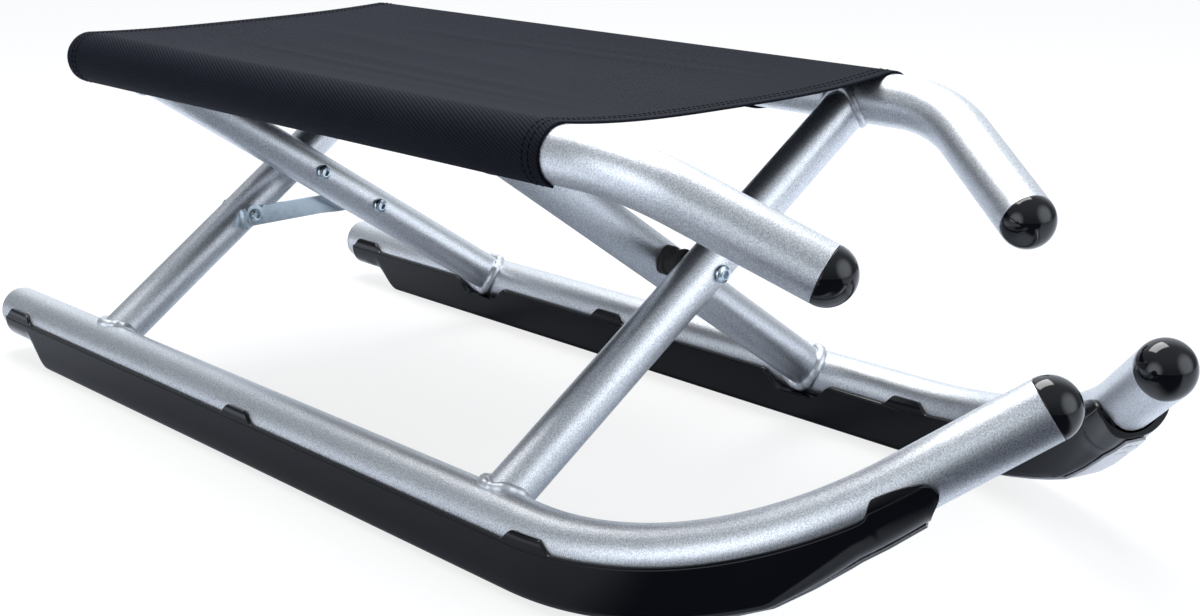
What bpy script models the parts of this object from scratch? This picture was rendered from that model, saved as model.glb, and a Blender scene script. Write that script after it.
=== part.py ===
"""Folding steering sled: two crossed aluminium tube frames that turn about one lengthwise pivot line.

The outer frame joins the right runner to the left seat tube with its two outer legs. The inner frame
joins the left runner to the right seat tube with its two inner legs. The frames cross under the seat,
where a bolt through each pair of legs is the hinge. A flat steel strut keeps them apart in use.

Metres, X forward, Y to the rider's left, Z up. Stations are measured forward from the rear ends of
the runner tubes. The origin is under the middle of the sled, on the ground.
"""
import math

import bmesh
import bpy
from mathutils import Matrix, Vector

# Tubes
TUBE_D = 0.035
TUBE_WALL = 0.002
LEG_D = 0.030
LEG_WALL = 0.002
GAP = 0.0003
WELD_BEAD_D = 0.0056

# The X of the frames, seen from the front
LEG_ANGLE = math.radians(34.7)
LEG_BELOW_PIVOT = 0.210
LEG_ABOVE_PIVOT = 0.168

# Runners
OUTER_RUNNER_STRAIGHT = 0.653
INNER_RUNNER_STRAIGHT = 0.659
RUNNER_BEND_RADIUS = 0.268
RUNNER_BEND_ANGLE = math.radians(51.4)
RUNNER_BEND_PLANE = math.radians(42.0)
RUNNER_TIP = 0.0825

# Seat tubes
SEAT_TUBE_REAR = 0.0865
SEAT_TUBE_BEND = 0.666
SEAT_BEND_RADIUS = 0.110
SEAT_BEND_ANGLE = math.radians(34.3)
SEAT_BEND_PLANE = math.radians(45.4)
HANDLE_TIP = 0.087

# Leg stations at the runner and at the seat tube
OUTER_FRONT_LEG = (0.616, 0.629)
OUTER_REAR_LEG = (0.146, 0.1505)
INNER_FRONT_LEG = (0.568, 0.582)
INNER_REAR_LEG = (0.202, 0.167)

# Caps and plugs
CAP_SPIGOT = 0.012
PLUG_LIP = 0.0015
SPIGOT_PLAY = 0.0003

# Runner shoes
SHOE_WALL = 0.0025
SHOE_PLAY = 0.0007
SHOE_LIP = 0.0011
SHOE_LIP_HEIGHT = 0.0030
SHOE_DEPTH = 0.0317
SHOE_BEND_DEPTH = 0.0231
SHOE_END_DEPTH = 0.0210
SHOE_SLEEVE_DEPTH = 0.0197
SHOE_CORNER = 0.0040
SHOE_KEEL = 0.0040
SHOE_REAR = 0.012
SHOE_RAMP = (0.043, 0.076)
SHOE_END_TO_TIP = 0.0785
SHOE_BEND_TO_TIP = 0.117
SHOE_TAPER_TO_TIP = 0.165
SHOE_END_LEAN = 0.0115
SHOE_EDGE_DROP = 0.0030
SHOE_EDGE_DROP_FROM = 0.255
SHOE_EDGE_DROP_TO = 0.115
CLIP_HEIGHT = 0.0072
CLIP_RAMP = 0.006
REAR_CLIP = (0.020, 0.056)
MIDDLE_CLIP = (0.350, 0.385)
FRONT_CLIP = (0.654, 0.690)
END_CLIP = (0.099, 0.0)
END_CLIP_OUTER = 0.0015
END_CLIP_INNER = 0.0080
WELD_NOTCH = (0.031, 0.018)
WELD_NOTCH_TOP = 0.0015
WELD_NOTCH_DEPTH = 0.0115

# Steel strips under the shoes
STRIP_WIDTH = 0.026
STRIP_END_WIDTH = 0.012
STRIP_NARROWS = 0.100
STRIP_T = 0.0018
STRIP_REAR = 0.080
STRIP_END_TO_SHOE = 0.003
STRIP_SCREW_INSET = 0.014
STRIP_SLOT_INSET = 0.030
STRIP_SLOT = (0.008, 0.0035)
SCREW_HEAD_D = 0.008
SCREW_D = 0.004
SCREW_LENGTH = 0.0055

# Bolts
BOLT_D = 0.008
BOLT_PLAY = 0.0002
HEAD_D = 0.014
HEAD_H = 0.0044
SOCKET_ACROSS = 0.005
SOCKET_DEPTH = 0.0022
NUT_ACROSS = 0.013
NUT_H = 0.0068
NUT_COLLAR = 0.0018
WASHER_D = 0.016
WASHER_T = 0.0016
THREAD_END = 0.0015
BUSHING_D = 0.0165
BUSHING_FLANGE_D = 0.0195
BUSHING_FLANGE_T = 0.0045
REAR_SPACER_D = 0.016

# Lock strut
STRUT_T = 0.003
STRUT_H = 0.0148
STRUT_PIVOT = 0.060
STRUT_CATCH = 0.057
STRUT_SEAT = 0.0005
STRUT_CLEAR = 0.0023
STRUT_JOGGLE = (0.018, 0.032)
STRUT_PAST_CATCH = 0.0135
STRUT_TAB = 0.0065
STRUT_BEND_RADIUS = 0.0015
HOOK_TILT = math.radians(22.0)
HOOK_MOUTH = math.radians(11.0)
HOOK_PLAY = 0.0004
STRUT_SPACER_D = 0.014

# Seat cloth
CLOTH_T = 0.0015
CLOTH_PLAY = 0.0004
CLOTH_REAR = 0.091
CLOTH_FRONT_LEFT = 0.658
CLOTH_FRONT_RIGHT = 0.645
CLOTH_FRONT_BOW = 0.004
CLOTH_REAR_SAG = 0.0025
CLOTH_FRONT_SAG = 0.0085
CLOTH_MIDDLE_SAG = 0.0085
CLOTH_SHOULDER = 0.040
CLOTH_EDGE = 0.0031
SLEEVE_PAST_HEM = 0.0008
CLOTH_CUT_OUT = (0.060, 0.095)
CLOTH_CUT_OUT_FROM = math.radians(40.0)
CLOTH_CUT_OUT_TO = math.radians(-108.0)

# Facets
TUBE_SIDES = 24
LEG_SIDES = 20
BEND_STEPS = 12
HANDLE_STEPS = 8
BEAD_STEPS = 18
BORE_SIDES = 12
BALL_STEPS = 24
TURN_STEPS = 20

TUBE_R = TUBE_D / 2
LEG_R = LEG_D / 2
SHAFT_R = BOLT_D / 2
BORE_R = SHAFT_R + BOLT_PLAY
RUNNER_Z = SHOE_DEPTH + GAP + STRIP_T
PIVOT_Z = RUNNER_Z + LEG_BELOW_PIVOT * math.sin(LEG_ANGLE)
SEAT_Z = PIVOT_Z + LEG_ABOVE_PIVOT * math.sin(LEG_ANGLE)
RUNNER_Y = LEG_BELOW_PIVOT * math.cos(LEG_ANGLE)
SEAT_Y = LEG_ABOVE_PIVOT * math.cos(LEG_ANGLE)
ALONG = Vector((1.0, 0.0, 0.0))
OUTER = 1.0
INNER = -1.0


def runner_straight(side):
    """Length of the straight stretch of a runner tube."""
    return OUTER_RUNNER_STRAIGHT if side == OUTER else INNER_RUNNER_STRAIGHT


def tip_reach():
    """Forward reach of a runner's bend and tip, from the end of its straight stretch."""
    return RUNNER_BEND_RADIUS * math.sin(RUNNER_BEND_ANGLE) + RUNNER_TIP * math.cos(RUNNER_BEND_ANGLE)


FRONT_STATION = max(OUTER_RUNNER_STRAIGHT, INNER_RUNNER_STRAIGHT) + tip_reach() + TUBE_R
REAR_STATION = -GAP - PLUG_LIP
X0 = -(FRONT_STATION + REAR_STATION) / 2


def in_plane(side, angle):
    """Unit vector across the sled that climbs at angle, towards the other side of the frame."""
    return Vector((0.0, side * math.cos(angle), math.sin(angle)))


def pivot_point(station):
    """Point of the pivot line at a station."""
    return Vector((X0 + station, 0.0, PIVOT_Z))


class Bend:
    """A tube's centre line: a straight stretch along X, one bend, and a straight tip."""

    def __init__(self, start, straight, radius, angle, tip, towards):
        self.start = start
        self.straight = straight
        self.radius = radius
        self.angle = angle
        self.tip = tip
        self.towards = towards
        self.axis = ALONG.cross(towards)
        self.length = straight + radius * angle + tip

    def turn(self, s):
        """Rotation of the cross-section at distance s along the tube."""
        angle = min(max((s - self.straight) / self.radius, 0.0), self.angle)
        return Matrix.Rotation(angle, 3, self.axis)

    def point(self, s):
        """Point at distance s along the centre line."""
        if s <= self.straight:
            return self.start + ALONG * s
        corner = self.start + ALONG * self.straight
        angle = min((s - self.straight) / self.radius, self.angle)
        rise = self.towards * (self.radius * (1.0 - math.cos(angle)))
        point = corner + ALONG * (self.radius * math.sin(angle)) + rise
        past = s - self.straight - self.radius * self.angle
        if past > 0.0:
            point += self.turn(s) @ ALONG * past
        return point

    def bend_stations(self, steps):
        """Distances along the tube at the bend's even steps, both ends included."""
        return [self.straight + self.radius * self.angle * i / steps for i in range(steps + 1)]


def runner_line(side):
    """Centre line of a runner tube, whose tip bends up and inward."""
    foot = pivot_point(0.0) - in_plane(side, LEG_ANGLE) * LEG_BELOW_PIVOT
    towards = in_plane(side, RUNNER_BEND_PLANE)
    return Bend(foot, runner_straight(side), RUNNER_BEND_RADIUS, RUNNER_BEND_ANGLE, RUNNER_TIP, towards)


def seat_line(side):
    """Centre line of a seat tube, whose front end bends down and inward as a handle."""
    top = pivot_point(SEAT_TUBE_REAR) + in_plane(side, LEG_ANGLE) * LEG_ABOVE_PIVOT
    straight = SEAT_TUBE_BEND - SEAT_TUBE_REAR
    towards = -in_plane(side, SEAT_BEND_PLANE)
    return Bend(top, straight, SEAT_BEND_RADIUS, SEAT_BEND_ANGLE, HANDLE_TIP, towards)


class Leg:
    """A leg's centre line, from the runner's axis up to the seat tube's axis."""

    def __init__(self, side, stations):
        self.side = side
        up = in_plane(side, LEG_ANGLE)
        self.foot = pivot_point(stations[0]) - up * LEG_BELOW_PIVOT
        self.head = pivot_point(stations[1]) + up * LEG_ABOVE_PIVOT
        self.direction = (self.head - self.foot).normalized()
        self.rake = (stations[1] - stations[0]) / (LEG_BELOW_PIVOT + LEG_ABOVE_PIVOT)

    def at(self, below):
        """Point of the axis at a distance below the pivot line, measured across the sled."""
        share = LEG_BELOW_PIVOT - below
        return self.foot + in_plane(self.side, LEG_ANGLE) * share + ALONG * (self.rake * share)


LEGS = {
    "outer_front_leg": Leg(OUTER, OUTER_FRONT_LEG),
    "outer_rear_leg": Leg(OUTER, OUTER_REAR_LEG),
    "inner_front_leg": Leg(INNER, INNER_FRONT_LEG),
    "inner_rear_leg": Leg(INNER, INNER_REAR_LEG),
}

for stale in list(bpy.data.objects):
    bpy.data.objects.remove(stale, do_unlink=True)


def new_collection(name):
    """Collection linked to the scene."""
    made = bpy.data.collections.new(name)
    bpy.context.scene.collection.children.link(made)
    return made


PARTS = new_collection("steering_sled")
CUTTERS = new_collection("cutters")


def new_material(name, colour, roughness, metallic):
    """Principled material with one colour."""
    made = bpy.data.materials.new(name)
    made.use_nodes = True
    shader = made.node_tree.nodes["Principled BSDF"]
    shader.inputs["Base Color"].default_value = (*colour, 1.0)
    shader.inputs["Roughness"].default_value = roughness
    shader.inputs["Metallic"].default_value = metallic
    return made


ALUMINIUM = new_material("matte_aluminium", (0.60, 0.61, 0.65), 0.38, 1.0)
ZINC = new_material("zinc_plated_steel", (0.55, 0.60, 0.64), 0.28, 1.0)
STEEL = new_material("runner_steel", (0.56, 0.57, 0.58), 0.30, 1.0)
BLACK_PLASTIC = new_material("black_plastic", (0.012, 0.012, 0.015), 0.25, 0.0)
BLACK_RUBBER = new_material("black_rubber", (0.015, 0.015, 0.016), 0.60, 0.0)
CLOTH = new_material("seat_cloth", (0.030, 0.032, 0.045), 0.85, 0.0)


def new_empty(name, place):
    """Empty that carries one moving group."""
    made = bpy.data.objects.new(name, None)
    made.location = place
    PARTS.objects.link(made)
    bpy.context.view_layer.update()
    return made


OUTER_FRAME = new_empty("outer_frame_carrier", pivot_point(0.0))
INNER_FRAME = new_empty("inner_frame_hinge", pivot_point(0.0))
CARRIERS = {OUTER: OUTER_FRAME, INNER: INNER_FRAME}


def set_origin(obj, origin):
    """Moves an object's origin to a world point, with its shape left in place."""
    local = obj.matrix_world.inverted() @ origin
    obj.data.transform(Matrix.Translation(-local))
    obj.matrix_world = obj.matrix_world @ Matrix.Translation(local)


def finish_part(obj, name, material, carrier, origin=None, smooth=True):
    """Names a piece, gives it its material and hangs it on its carrier."""
    obj.name = name
    obj.data.name = name
    obj.data.materials.clear()
    obj.data.materials.append(material)
    if smooth:
        obj.data.shade_smooth()
        obj.data.set_sharp_from_angle(angle=math.radians(35))
    bpy.context.view_layer.update()
    if origin is not None:
        set_origin(obj, origin)
    world = obj.matrix_world.copy()
    obj.parent = carrier
    obj.matrix_parent_inverse = carrier.matrix_world.inverted()
    obj.matrix_world = world
    if obj.name not in PARTS.objects:
        PARTS.objects.link(obj)
    return obj


def new_object(name, mesh, collection=None):
    """Object of a mesh in a collection."""
    made = bpy.data.objects.new(name, mesh)
    (collection or PARTS).objects.link(made)
    return made


def to_cutter(obj):
    """Sets an object aside as a cutter or a tool body."""
    for held in list(obj.users_collection):
        held.objects.unlink(obj)
    CUTTERS.objects.link(obj)
    obj.hide_render = True
    obj.display_type = "WIRE"
    return obj


def boolean(obj, tool, operation):
    """Exact boolean of an object with a tool body."""
    modifier = obj.modifiers.new(f"{operation.lower()}_{tool.name}", "BOOLEAN")
    modifier.operation = operation
    modifier.solver = "EXACT"
    modifier.object = tool
    return obj


def bake(obj):
    """Replaces an object with the mesh that its modifiers or its curve make."""
    bpy.context.view_layer.update()
    graph = bpy.context.evaluated_depsgraph_get()
    mesh = bpy.data.meshes.new_from_object(obj.evaluated_get(graph), depsgraph=graph)
    world = obj.matrix_world.copy()
    home = obj.users_collection[0]
    name = obj.name
    bpy.data.objects.remove(obj, do_unlink=True)
    work = bmesh.new()
    work.from_mesh(mesh)
    bmesh.ops.remove_doubles(work, verts=work.verts, dist=1e-6)
    work.to_mesh(mesh)
    work.free()
    made = new_object(name, mesh, home)
    made.matrix_world = world
    return made


def swept_tube(name, points, radius, resolution, cyclic=False, caps=True):
    """Round tube along points, as a mesh."""
    curve = bpy.data.curves.new(name, "CURVE")
    curve.dimensions = "3D"
    curve.bevel_depth = radius
    curve.bevel_resolution = resolution
    curve.use_fill_caps = caps and not cyclic
    spline = curve.splines.new("POLY")
    spline.points.add(len(points) - 1)
    for knot, point in zip(spline.points, points):
        knot.co = (*point, 1.0)
    spline.use_cyclic_u = cyclic
    return bake(new_object(name, curve))


def tube_resolution(sides):
    """Bevel resolution that gives a tube this many sides."""
    return (sides - 4) // 2


def hollow_tube(name, points, radius, wall, sides):
    """Open-ended tube with a wall."""
    tube = swept_tube(name, points, radius, tube_resolution(sides), caps=False)
    solid = tube.modifiers.new("wall", "SOLIDIFY")
    solid.thickness = wall
    solid.offset = -1.0
    solid.use_even_offset = True
    return tube


def aim(direction):
    """Rotation that turns +Z to a direction."""
    return direction.to_track_quat("Z", "Y").to_matrix().to_4x4()


def cylinder(name, start, end, radius, sides=TURN_STEPS):
    """Closed cylinder between two points."""
    span = end - start
    work = bmesh.new()
    bmesh.ops.create_cone(
        work, cap_ends=True, segments=sides, radius1=radius, radius2=radius, depth=span.length
    )
    mesh = bpy.data.meshes.new(name)
    work.to_mesh(mesh)
    work.free()
    made = new_object(name, mesh)
    made.matrix_world = Matrix.Translation((start + end) / 2) @ aim(span)
    return made


def turned(name, profile, place, direction, steps=TURN_STEPS):
    """Turned piece: profile points (radius, height) run down the outer side, axis along direction."""
    work = bmesh.new()
    points = [work.verts.new((radius, 0.0, height)) for radius, height in profile]
    for first, second in zip(points, points[1:]):
        work.edges.new((first, second))
    mesh = bpy.data.meshes.new(name)
    work.to_mesh(mesh)
    work.free()
    made = new_object(name, mesh)
    screw = made.modifiers.new("turn", "SCREW")
    screw.axis = "Z"
    screw.angle = math.tau
    screw.steps = steps
    screw.render_steps = steps
    screw.use_merge_vertices = True
    screw.merge_threshold = 1e-5
    made.matrix_world = Matrix.Translation(place) @ aim(direction)
    return made


def ring_profile(inner, outer, bottom, top):
    """Closed profile of a plain ring or washer."""
    return [(inner, top), (outer, top), (outer, bottom), (inner, bottom), (inner, top)]


def arc_points(centre, radii, start, end, steps):
    """Points of an elliptical arc, both ends included."""
    angles = [start + (end - start) * i / steps for i in range(steps + 1)]
    return [(centre[0] + radii[0] * math.cos(a), centre[1] + radii[1] * math.sin(a)) for a in angles]


def loft(name, sections):
    """Closed body through sections with the same number of points."""
    work = bmesh.new()
    rings = [[work.verts.new(point) for point in section] for section in sections]
    count = len(rings[0])
    for ring, following in zip(rings, rings[1:]):
        for i in range(count):
            j = (i + 1) % count
            work.faces.new((ring[i], ring[j], following[j], following[i]))
    work.faces.new(list(reversed(rings[0])))
    work.faces.new(rings[-1])
    bmesh.ops.recalc_face_normals(work, faces=work.faces)
    mesh = bpy.data.meshes.new(name)
    work.to_mesh(mesh)
    work.free()
    return new_object(name, mesh)


def ramp(s, span, slope):
    """Rises from 0 to 1 into a span of stations and falls back after it, over slope."""
    rise = min(max((s - (span[0] - slope)) / slope, 0.0), 1.0)
    fall = min(max(((span[1] + slope) - s) / slope, 0.0), 1.0)
    return min(rise, fall)


def between(s, start, end, low, high):
    """Value that goes from low to high between two stations."""
    share = min(max((s - start) / (end - start), 0.0), 1.0)
    return low + (high - low) * share


# Frame tubes
def frame_tube(name, line, side, steps):
    """Bent tube of a frame."""
    stations = [0.0] + line.bend_stations(steps) + [line.length]
    tube = hollow_tube(name, [line.point(s) for s in stations], TUBE_R, TUBE_WALL, TUBE_SIDES)
    return finish_part(tube, name, ALUMINIUM, CARRIERS[side], line.start)


def weld_path(leg, joint, towards, steps):
    """Closed line where a leg's skin meets the skin of the tube through joint."""
    first = leg.direction.cross(ALONG).normalized()
    second = leg.direction.cross(first)
    across = Vector((0.0, leg.direction.y, leg.direction.z)) * towards
    points = []
    for i in range(steps):
        angle = math.tau * i / steps
        rim = (first * math.cos(angle) + second * math.sin(angle)) * LEG_R
        flat = Vector((0.0, rim.y, rim.z))
        a = across.length_squared
        b = 2.0 * flat.dot(across)
        c = flat.length_squared - TUBE_R ** 2
        reach = (-b + math.sqrt(b * b - 4.0 * a * c)) / (2.0 * a)
        points.append(joint + rim + leg.direction * (towards * reach))
    return points


def leg_bores(name):
    """Cross bores of a leg, as distances below the pivot line."""
    extra = {"inner_rear_leg": [STRUT_PIVOT], "outer_rear_leg": [STRUT_CATCH]}
    return [0.0] + extra.get(name, [])


def frame_leg(name, leg):
    """Leg coped to both tubes, with its weld beads and bolt bores."""
    tube = cylinder(name, leg.foot, leg.head, LEG_R, LEG_SIDES)
    beads = []
    for joint, towards in ((leg.foot, 1.0), (leg.head, -1.0)):
        path = weld_path(leg, joint, towards, BEAD_STEPS)
        bead = swept_tube(f"{name}_bead", path, WELD_BEAD_D / 2, 1, cyclic=True)
        beads.append(to_cutter(bead))
    for bead in beads:
        boolean(tube, bead, "UNION")
    past = leg.direction * LEG_WALL
    bore = cylinder(f"{name}_inside", leg.foot - past, leg.head + past, LEG_R - LEG_WALL, LEG_SIDES)
    boolean(tube, to_cutter(bore), "DIFFERENCE")
    reach = ALONG * (LEG_D * 2)
    for joint in (leg.foot, leg.head):
        cope = cylinder(f"{name}_cope", joint - reach, joint + reach, TUBE_R + GAP, TUBE_SIDES + 12)
        boolean(tube, to_cutter(cope), "DIFFERENCE")
    for below in leg_bores(name):
        middle = leg.at(below)
        hole = cylinder(f"{name}_bore", middle - ALONG * LEG_D, middle + ALONG * LEG_D, BORE_R, BORE_SIDES)
        boolean(tube, to_cutter(hole), "DIFFERENCE")
    tube = bake(tube)
    return finish_part(tube, name, ALUMINIUM, CARRIERS[leg.side], leg.at(0.0))


# End caps
def ball_cap(name, line, side):
    """Hemispherical cap with a spigot, on the front end of a tube."""
    dome = arc_points((0.0, 0.0), (TUBE_R, TUBE_R), math.pi / 2, 0.0, 7)
    spigot = TUBE_R - TUBE_WALL - SPIGOT_PLAY
    profile = dome + [(spigot, 0.0), (spigot, -CAP_SPIGOT), (0.0, -CAP_SPIGOT)]
    profile[0] = (0.0, TUBE_R)
    direction = line.turn(line.length) @ ALONG
    cap = turned(name, profile, line.point(line.length) + direction * GAP, direction, BALL_STEPS)
    return finish_part(bake(cap), name, BLACK_PLASTIC, CARRIERS[side])


def end_plug(name, line, side):
    """Thin plug in the rear end of a tube."""
    rim = TUBE_R - 0.25 * PLUG_LIP
    spigot = TUBE_R - TUBE_WALL - SPIGOT_PLAY
    profile = [
        (0.0, PLUG_LIP),
        (rim - PLUG_LIP * 0.7, PLUG_LIP),
        (rim, PLUG_LIP * 0.4),
        (rim, 0.0),
        (spigot, 0.0),
        (spigot, -CAP_SPIGOT),
        (0.0, -CAP_SPIGOT),
    ]
    plug = turned(name, profile, line.start - ALONG * GAP, -ALONG)
    return finish_part(bake(plug), name, BLACK_PLASTIC, CARRIERS[side])


# Runner shoes
class ShoeFrame:
    """Axes of a runner's cross-section: outward, down, and the point on the tube's axis."""

    def __init__(self, line, side, s):
        turn = line.turn(s)
        self.centre = line.point(s)
        self.outward = turn @ Vector((0.0, -side, 0.0))
        self.down = turn @ Vector((0.0, 0.0, -1.0))

    def place(self, outward, down):
        """World point at a distance outward and down from the tube's axis."""
        return self.centre + self.outward * outward + self.down * down


def shoe_end(line):
    """Station of the lowest point of a shoe's front end."""
    return line.length - SHOE_END_TO_TIP


def shoe_depth(line, s):
    """Depth of the sole under the tube's axis."""
    if s < SHOE_RAMP[1]:
        return between(s, SHOE_RAMP[0], SHOE_RAMP[1], SHOE_SLEEVE_DEPTH, SHOE_DEPTH)
    knee = line.length - SHOE_BEND_TO_TIP
    if s < knee:
        return between(s, line.length - SHOE_TAPER_TO_TIP, knee, SHOE_DEPTH, SHOE_BEND_DEPTH)
    return between(s, knee, shoe_end(line), SHOE_BEND_DEPTH, SHOE_END_DEPTH)


def foot_stations(side):
    """Stations where the legs of a frame stand on its runner."""
    pairs = (OUTER_FRONT_LEG, OUTER_REAR_LEG) if side == OUTER else (INNER_FRONT_LEG, INNER_REAR_LEG)
    return [pair[0] for pair in pairs]


def wall_top(line, s, end_height):
    """Height of a shoe wall's top edge over the tube's axis."""
    drop = between(
        s, line.length - SHOE_EDGE_DROP_FROM, line.length - SHOE_EDGE_DROP_TO, 0.0, SHOE_EDGE_DROP
    )
    clip = max(ramp(s, span, CLIP_RAMP) for span in (REAR_CLIP, MIDDLE_CLIP, FRONT_CLIP))
    last = (line.length - END_CLIP[0], line.length - END_CLIP[1])
    end = ramp(s, last, CLIP_RAMP)
    return (CLIP_HEIGHT + drop) * clip + (end_height + drop) * end - drop


def bore_angles(top):
    """Angles of one side of a shoe's bore, from its top edge to the last point above the keel."""
    edge = math.asin(-top / (TUBE_R + SHOE_PLAY))
    first = math.radians(15.0)
    step = math.radians(150.0) / 7
    return [edge, (edge + first) / 2] + [first + step * i for i in range(4)]


def wall_outline(top, depth):
    """Outer side of a shoe wall from its top edge down to the sole, as (outward, down) points."""
    lip = TUBE_R + SHOE_PLAY + SHOE_WALL - SHOE_LIP
    side = lip + SHOE_LIP
    edge = math.sqrt(lip ** 2 - max(top, 0.0) ** 2)
    step = max(-top, 0.0) + SHOE_LIP_HEIGHT
    shoulder = step + SHOE_LIP
    full = min(max((depth - SHOE_END_DEPTH) / (SHOE_DEPTH - SHOE_END_DEPTH), 0.0), 1.0)
    fall = (depth - shoulder) * 0.96
    corner = fall + (SHOE_CORNER - fall) * full
    reach = side - SHOE_KEEL + (SHOE_CORNER - side + SHOE_KEEL) * full
    points = [(edge, -top), (lip, step), (side, shoulder)]
    return points + arc_points((side - reach, depth - corner), (reach, corner), 0.0, math.pi / 2, 3)


def end_lean(line, s, down):
    """Forward lean of a shoe's end face, which rounds off at its top edge and runs back to its sole."""
    if s < shoe_end(line) - 0.0001:
        return 0.0
    rise = between(down, 0.35 * SHOE_END_DEPTH, SHOE_END_DEPTH, 1.0, 0.0)
    return SHOE_END_LEAN * rise * between(down, -END_CLIP_OUTER, 0.35 * SHOE_END_DEPTH, 0.45, 1.0)


def shoe_section(line, side, s):
    """Cross-section of a shoe at a station."""
    frame = ShoeFrame(line, side, s)
    depth = shoe_depth(line, s)
    out_top = wall_top(line, s, END_CLIP_OUTER)
    in_top = wall_top(line, s, END_CLIP_INNER)
    inner = TUBE_R + SHOE_PLAY
    bore = [(-inner * math.cos(a), inner * math.sin(a)) for a in bore_angles(in_top)]
    bore += [(inner * math.cos(a), inner * math.sin(a)) for a in reversed(bore_angles(out_top))]
    outer = wall_outline(out_top, depth)
    inward = [(-u, d) for u, d in reversed(wall_outline(in_top, depth))]
    forward = line.turn(s) @ ALONG
    return [frame.place(u, d) + forward * end_lean(line, s, d) for u, d in bore + outer + inward]


def shoe_stations(line):
    """Stations where a shoe's section changes."""
    end = shoe_end(line)
    marks = {SHOE_REAR, SHOE_RAMP[0], (SHOE_RAMP[0] + SHOE_RAMP[1]) / 2, SHOE_RAMP[1], end}
    last = (line.length - END_CLIP[0], line.length - END_CLIP[1])
    for span in (REAR_CLIP, MIDDLE_CLIP, FRONT_CLIP, last):
        marks.update((span[0] - CLIP_RAMP, span[0], span[1], span[1] + CLIP_RAMP))
        if span[1] > line.straight:
            marks.update((span[0] - CLIP_RAMP / 2, span[1] + CLIP_RAMP / 2))
    marks.update((line.length - SHOE_TAPER_TO_TIP, line.length - SHOE_BEND_TO_TIP))
    marks.update(line.bend_stations(BEND_STEPS))
    kept = sorted(s for s in marks if SHOE_REAR <= s <= end)
    return [s for s, before in zip(kept, [-1.0] + kept) if s - before > 0.0011]


def weld_notch(name, line, side, foot):
    """Cutter of the notch that a shoe's inner wall has under a leg."""
    frame = ShoeFrame(line, side, foot)
    wide, narrow = WELD_NOTCH
    corners = ((-wide, -WELD_NOTCH_TOP), (wide, -WELD_NOTCH_TOP), (narrow, WELD_NOTCH_DEPTH))
    corners += ((-narrow, WELD_NOTCH_DEPTH),)
    sections = []
    for outward in (-TUBE_R * 0.6, -TUBE_R * 1.5):
        sections.append([frame.place(outward, down) + ALONG * along for along, down in corners])
    return to_cutter(loft(name, sections))


def strip_span(line):
    """Stations of a steel strip's ends."""
    return STRIP_REAR, shoe_end(line) - STRIP_END_TO_SHOE


def screw_stations(line):
    """Stations of the screws that hold a steel strip."""
    start, end = strip_span(line)
    return [start + STRIP_SCREW_INSET, end - STRIP_SCREW_INSET]


def screw_names(side_name):
    """Names of the two screws of a strip, rear first."""
    return [f"{side_name}_strip_rear_screw", f"{side_name}_strip_front_screw"]


def strip_bottom(line, s):
    """Depth of a steel strip's lower face under the tube's axis."""
    return shoe_depth(line, s) + GAP + STRIP_T


def runner_shoe(side_name, line, side):
    """Glossy plastic shoe clipped under a runner tube."""
    name = f"{side_name}_runner_shoe"
    shoe = loft(name, [shoe_section(line, side, s) for s in shoe_stations(line)])
    for foot in foot_stations(side):
        boolean(shoe, weld_notch(f"{name}_notch", line, side, foot), "DIFFERENCE")
    for s in screw_stations(line):
        frame = ShoeFrame(line, side, s)
        top = strip_bottom(line, s) - SCREW_LENGTH - GAP
        hole = cylinder(
            f"{name}_hole", frame.place(0.0, top), frame.place(0.0, top + STRIP_WIDTH),
            SCREW_D / 2 + GAP / 2, BORE_SIDES,
        )
        boolean(shoe, to_cutter(hole), "DIFFERENCE")
    return finish_part(bake(shoe), name, BLACK_PLASTIC, CARRIERS[side], line.start)


def steel_strip(side_name, line, side):
    """Steel wear strip under a shoe, with a slot and a screw hole at its front end."""
    name = f"{side_name}_steel_strip"
    start, end = strip_span(line)
    marks = [start, end, *line.bend_stations(BEND_STEPS)]
    marks += [line.length - SHOE_TAPER_TO_TIP, line.length - SHOE_BEND_TO_TIP]
    sections = []
    for s in sorted(mark for mark in marks if start <= mark <= end):
        frame = ShoeFrame(line, side, s)
        low = strip_bottom(line, s)
        half = between(s, end - STRIP_NARROWS, end, STRIP_WIDTH, STRIP_END_WIDTH) / 2
        corners = ((-half, low - STRIP_T), (half, low - STRIP_T), (half, low), (-half, low))
        sections.append([frame.place(u, d) for u, d in corners])
    strip = loft(name, sections)
    for s in screw_stations(line):
        frame = ShoeFrame(line, side, s)
        low = strip_bottom(line, s)
        hole = cylinder(
            f"{name}_hole", frame.place(0.0, low - STRIP_WIDTH), frame.place(0.0, low + STRIP_WIDTH),
            SCREW_HEAD_D / 2 + GAP, BORE_SIDES,
        )
        boolean(strip, to_cutter(hole), "DIFFERENCE")
    frame = ShoeFrame(line, side, end - STRIP_SLOT_INSET)
    low = strip_bottom(line, end - STRIP_SLOT_INSET)
    slot = slot_cutter(f"{name}_slot", frame, low)
    boolean(strip, slot, "DIFFERENCE")
    return finish_part(bake(strip), name, STEEL, CARRIERS[side], line.start)


def slot_cutter(name, frame, low):
    """Cutter of the cross slot near a strip's front end."""
    width, height = STRIP_SLOT
    forward = frame.down.cross(frame.outward).normalized()
    sections = []
    for down in (low - STRIP_WIDTH / 4, low + STRIP_WIDTH / 4):
        centre = frame.place(0.0, down)
        corners = ((-width, -height), (width, -height), (width, height), (-width, height))
        sections.append([centre + frame.outward * (u / 2) + forward * (v / 2) for u, v in corners])
    return to_cutter(loft(name, sections))


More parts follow.
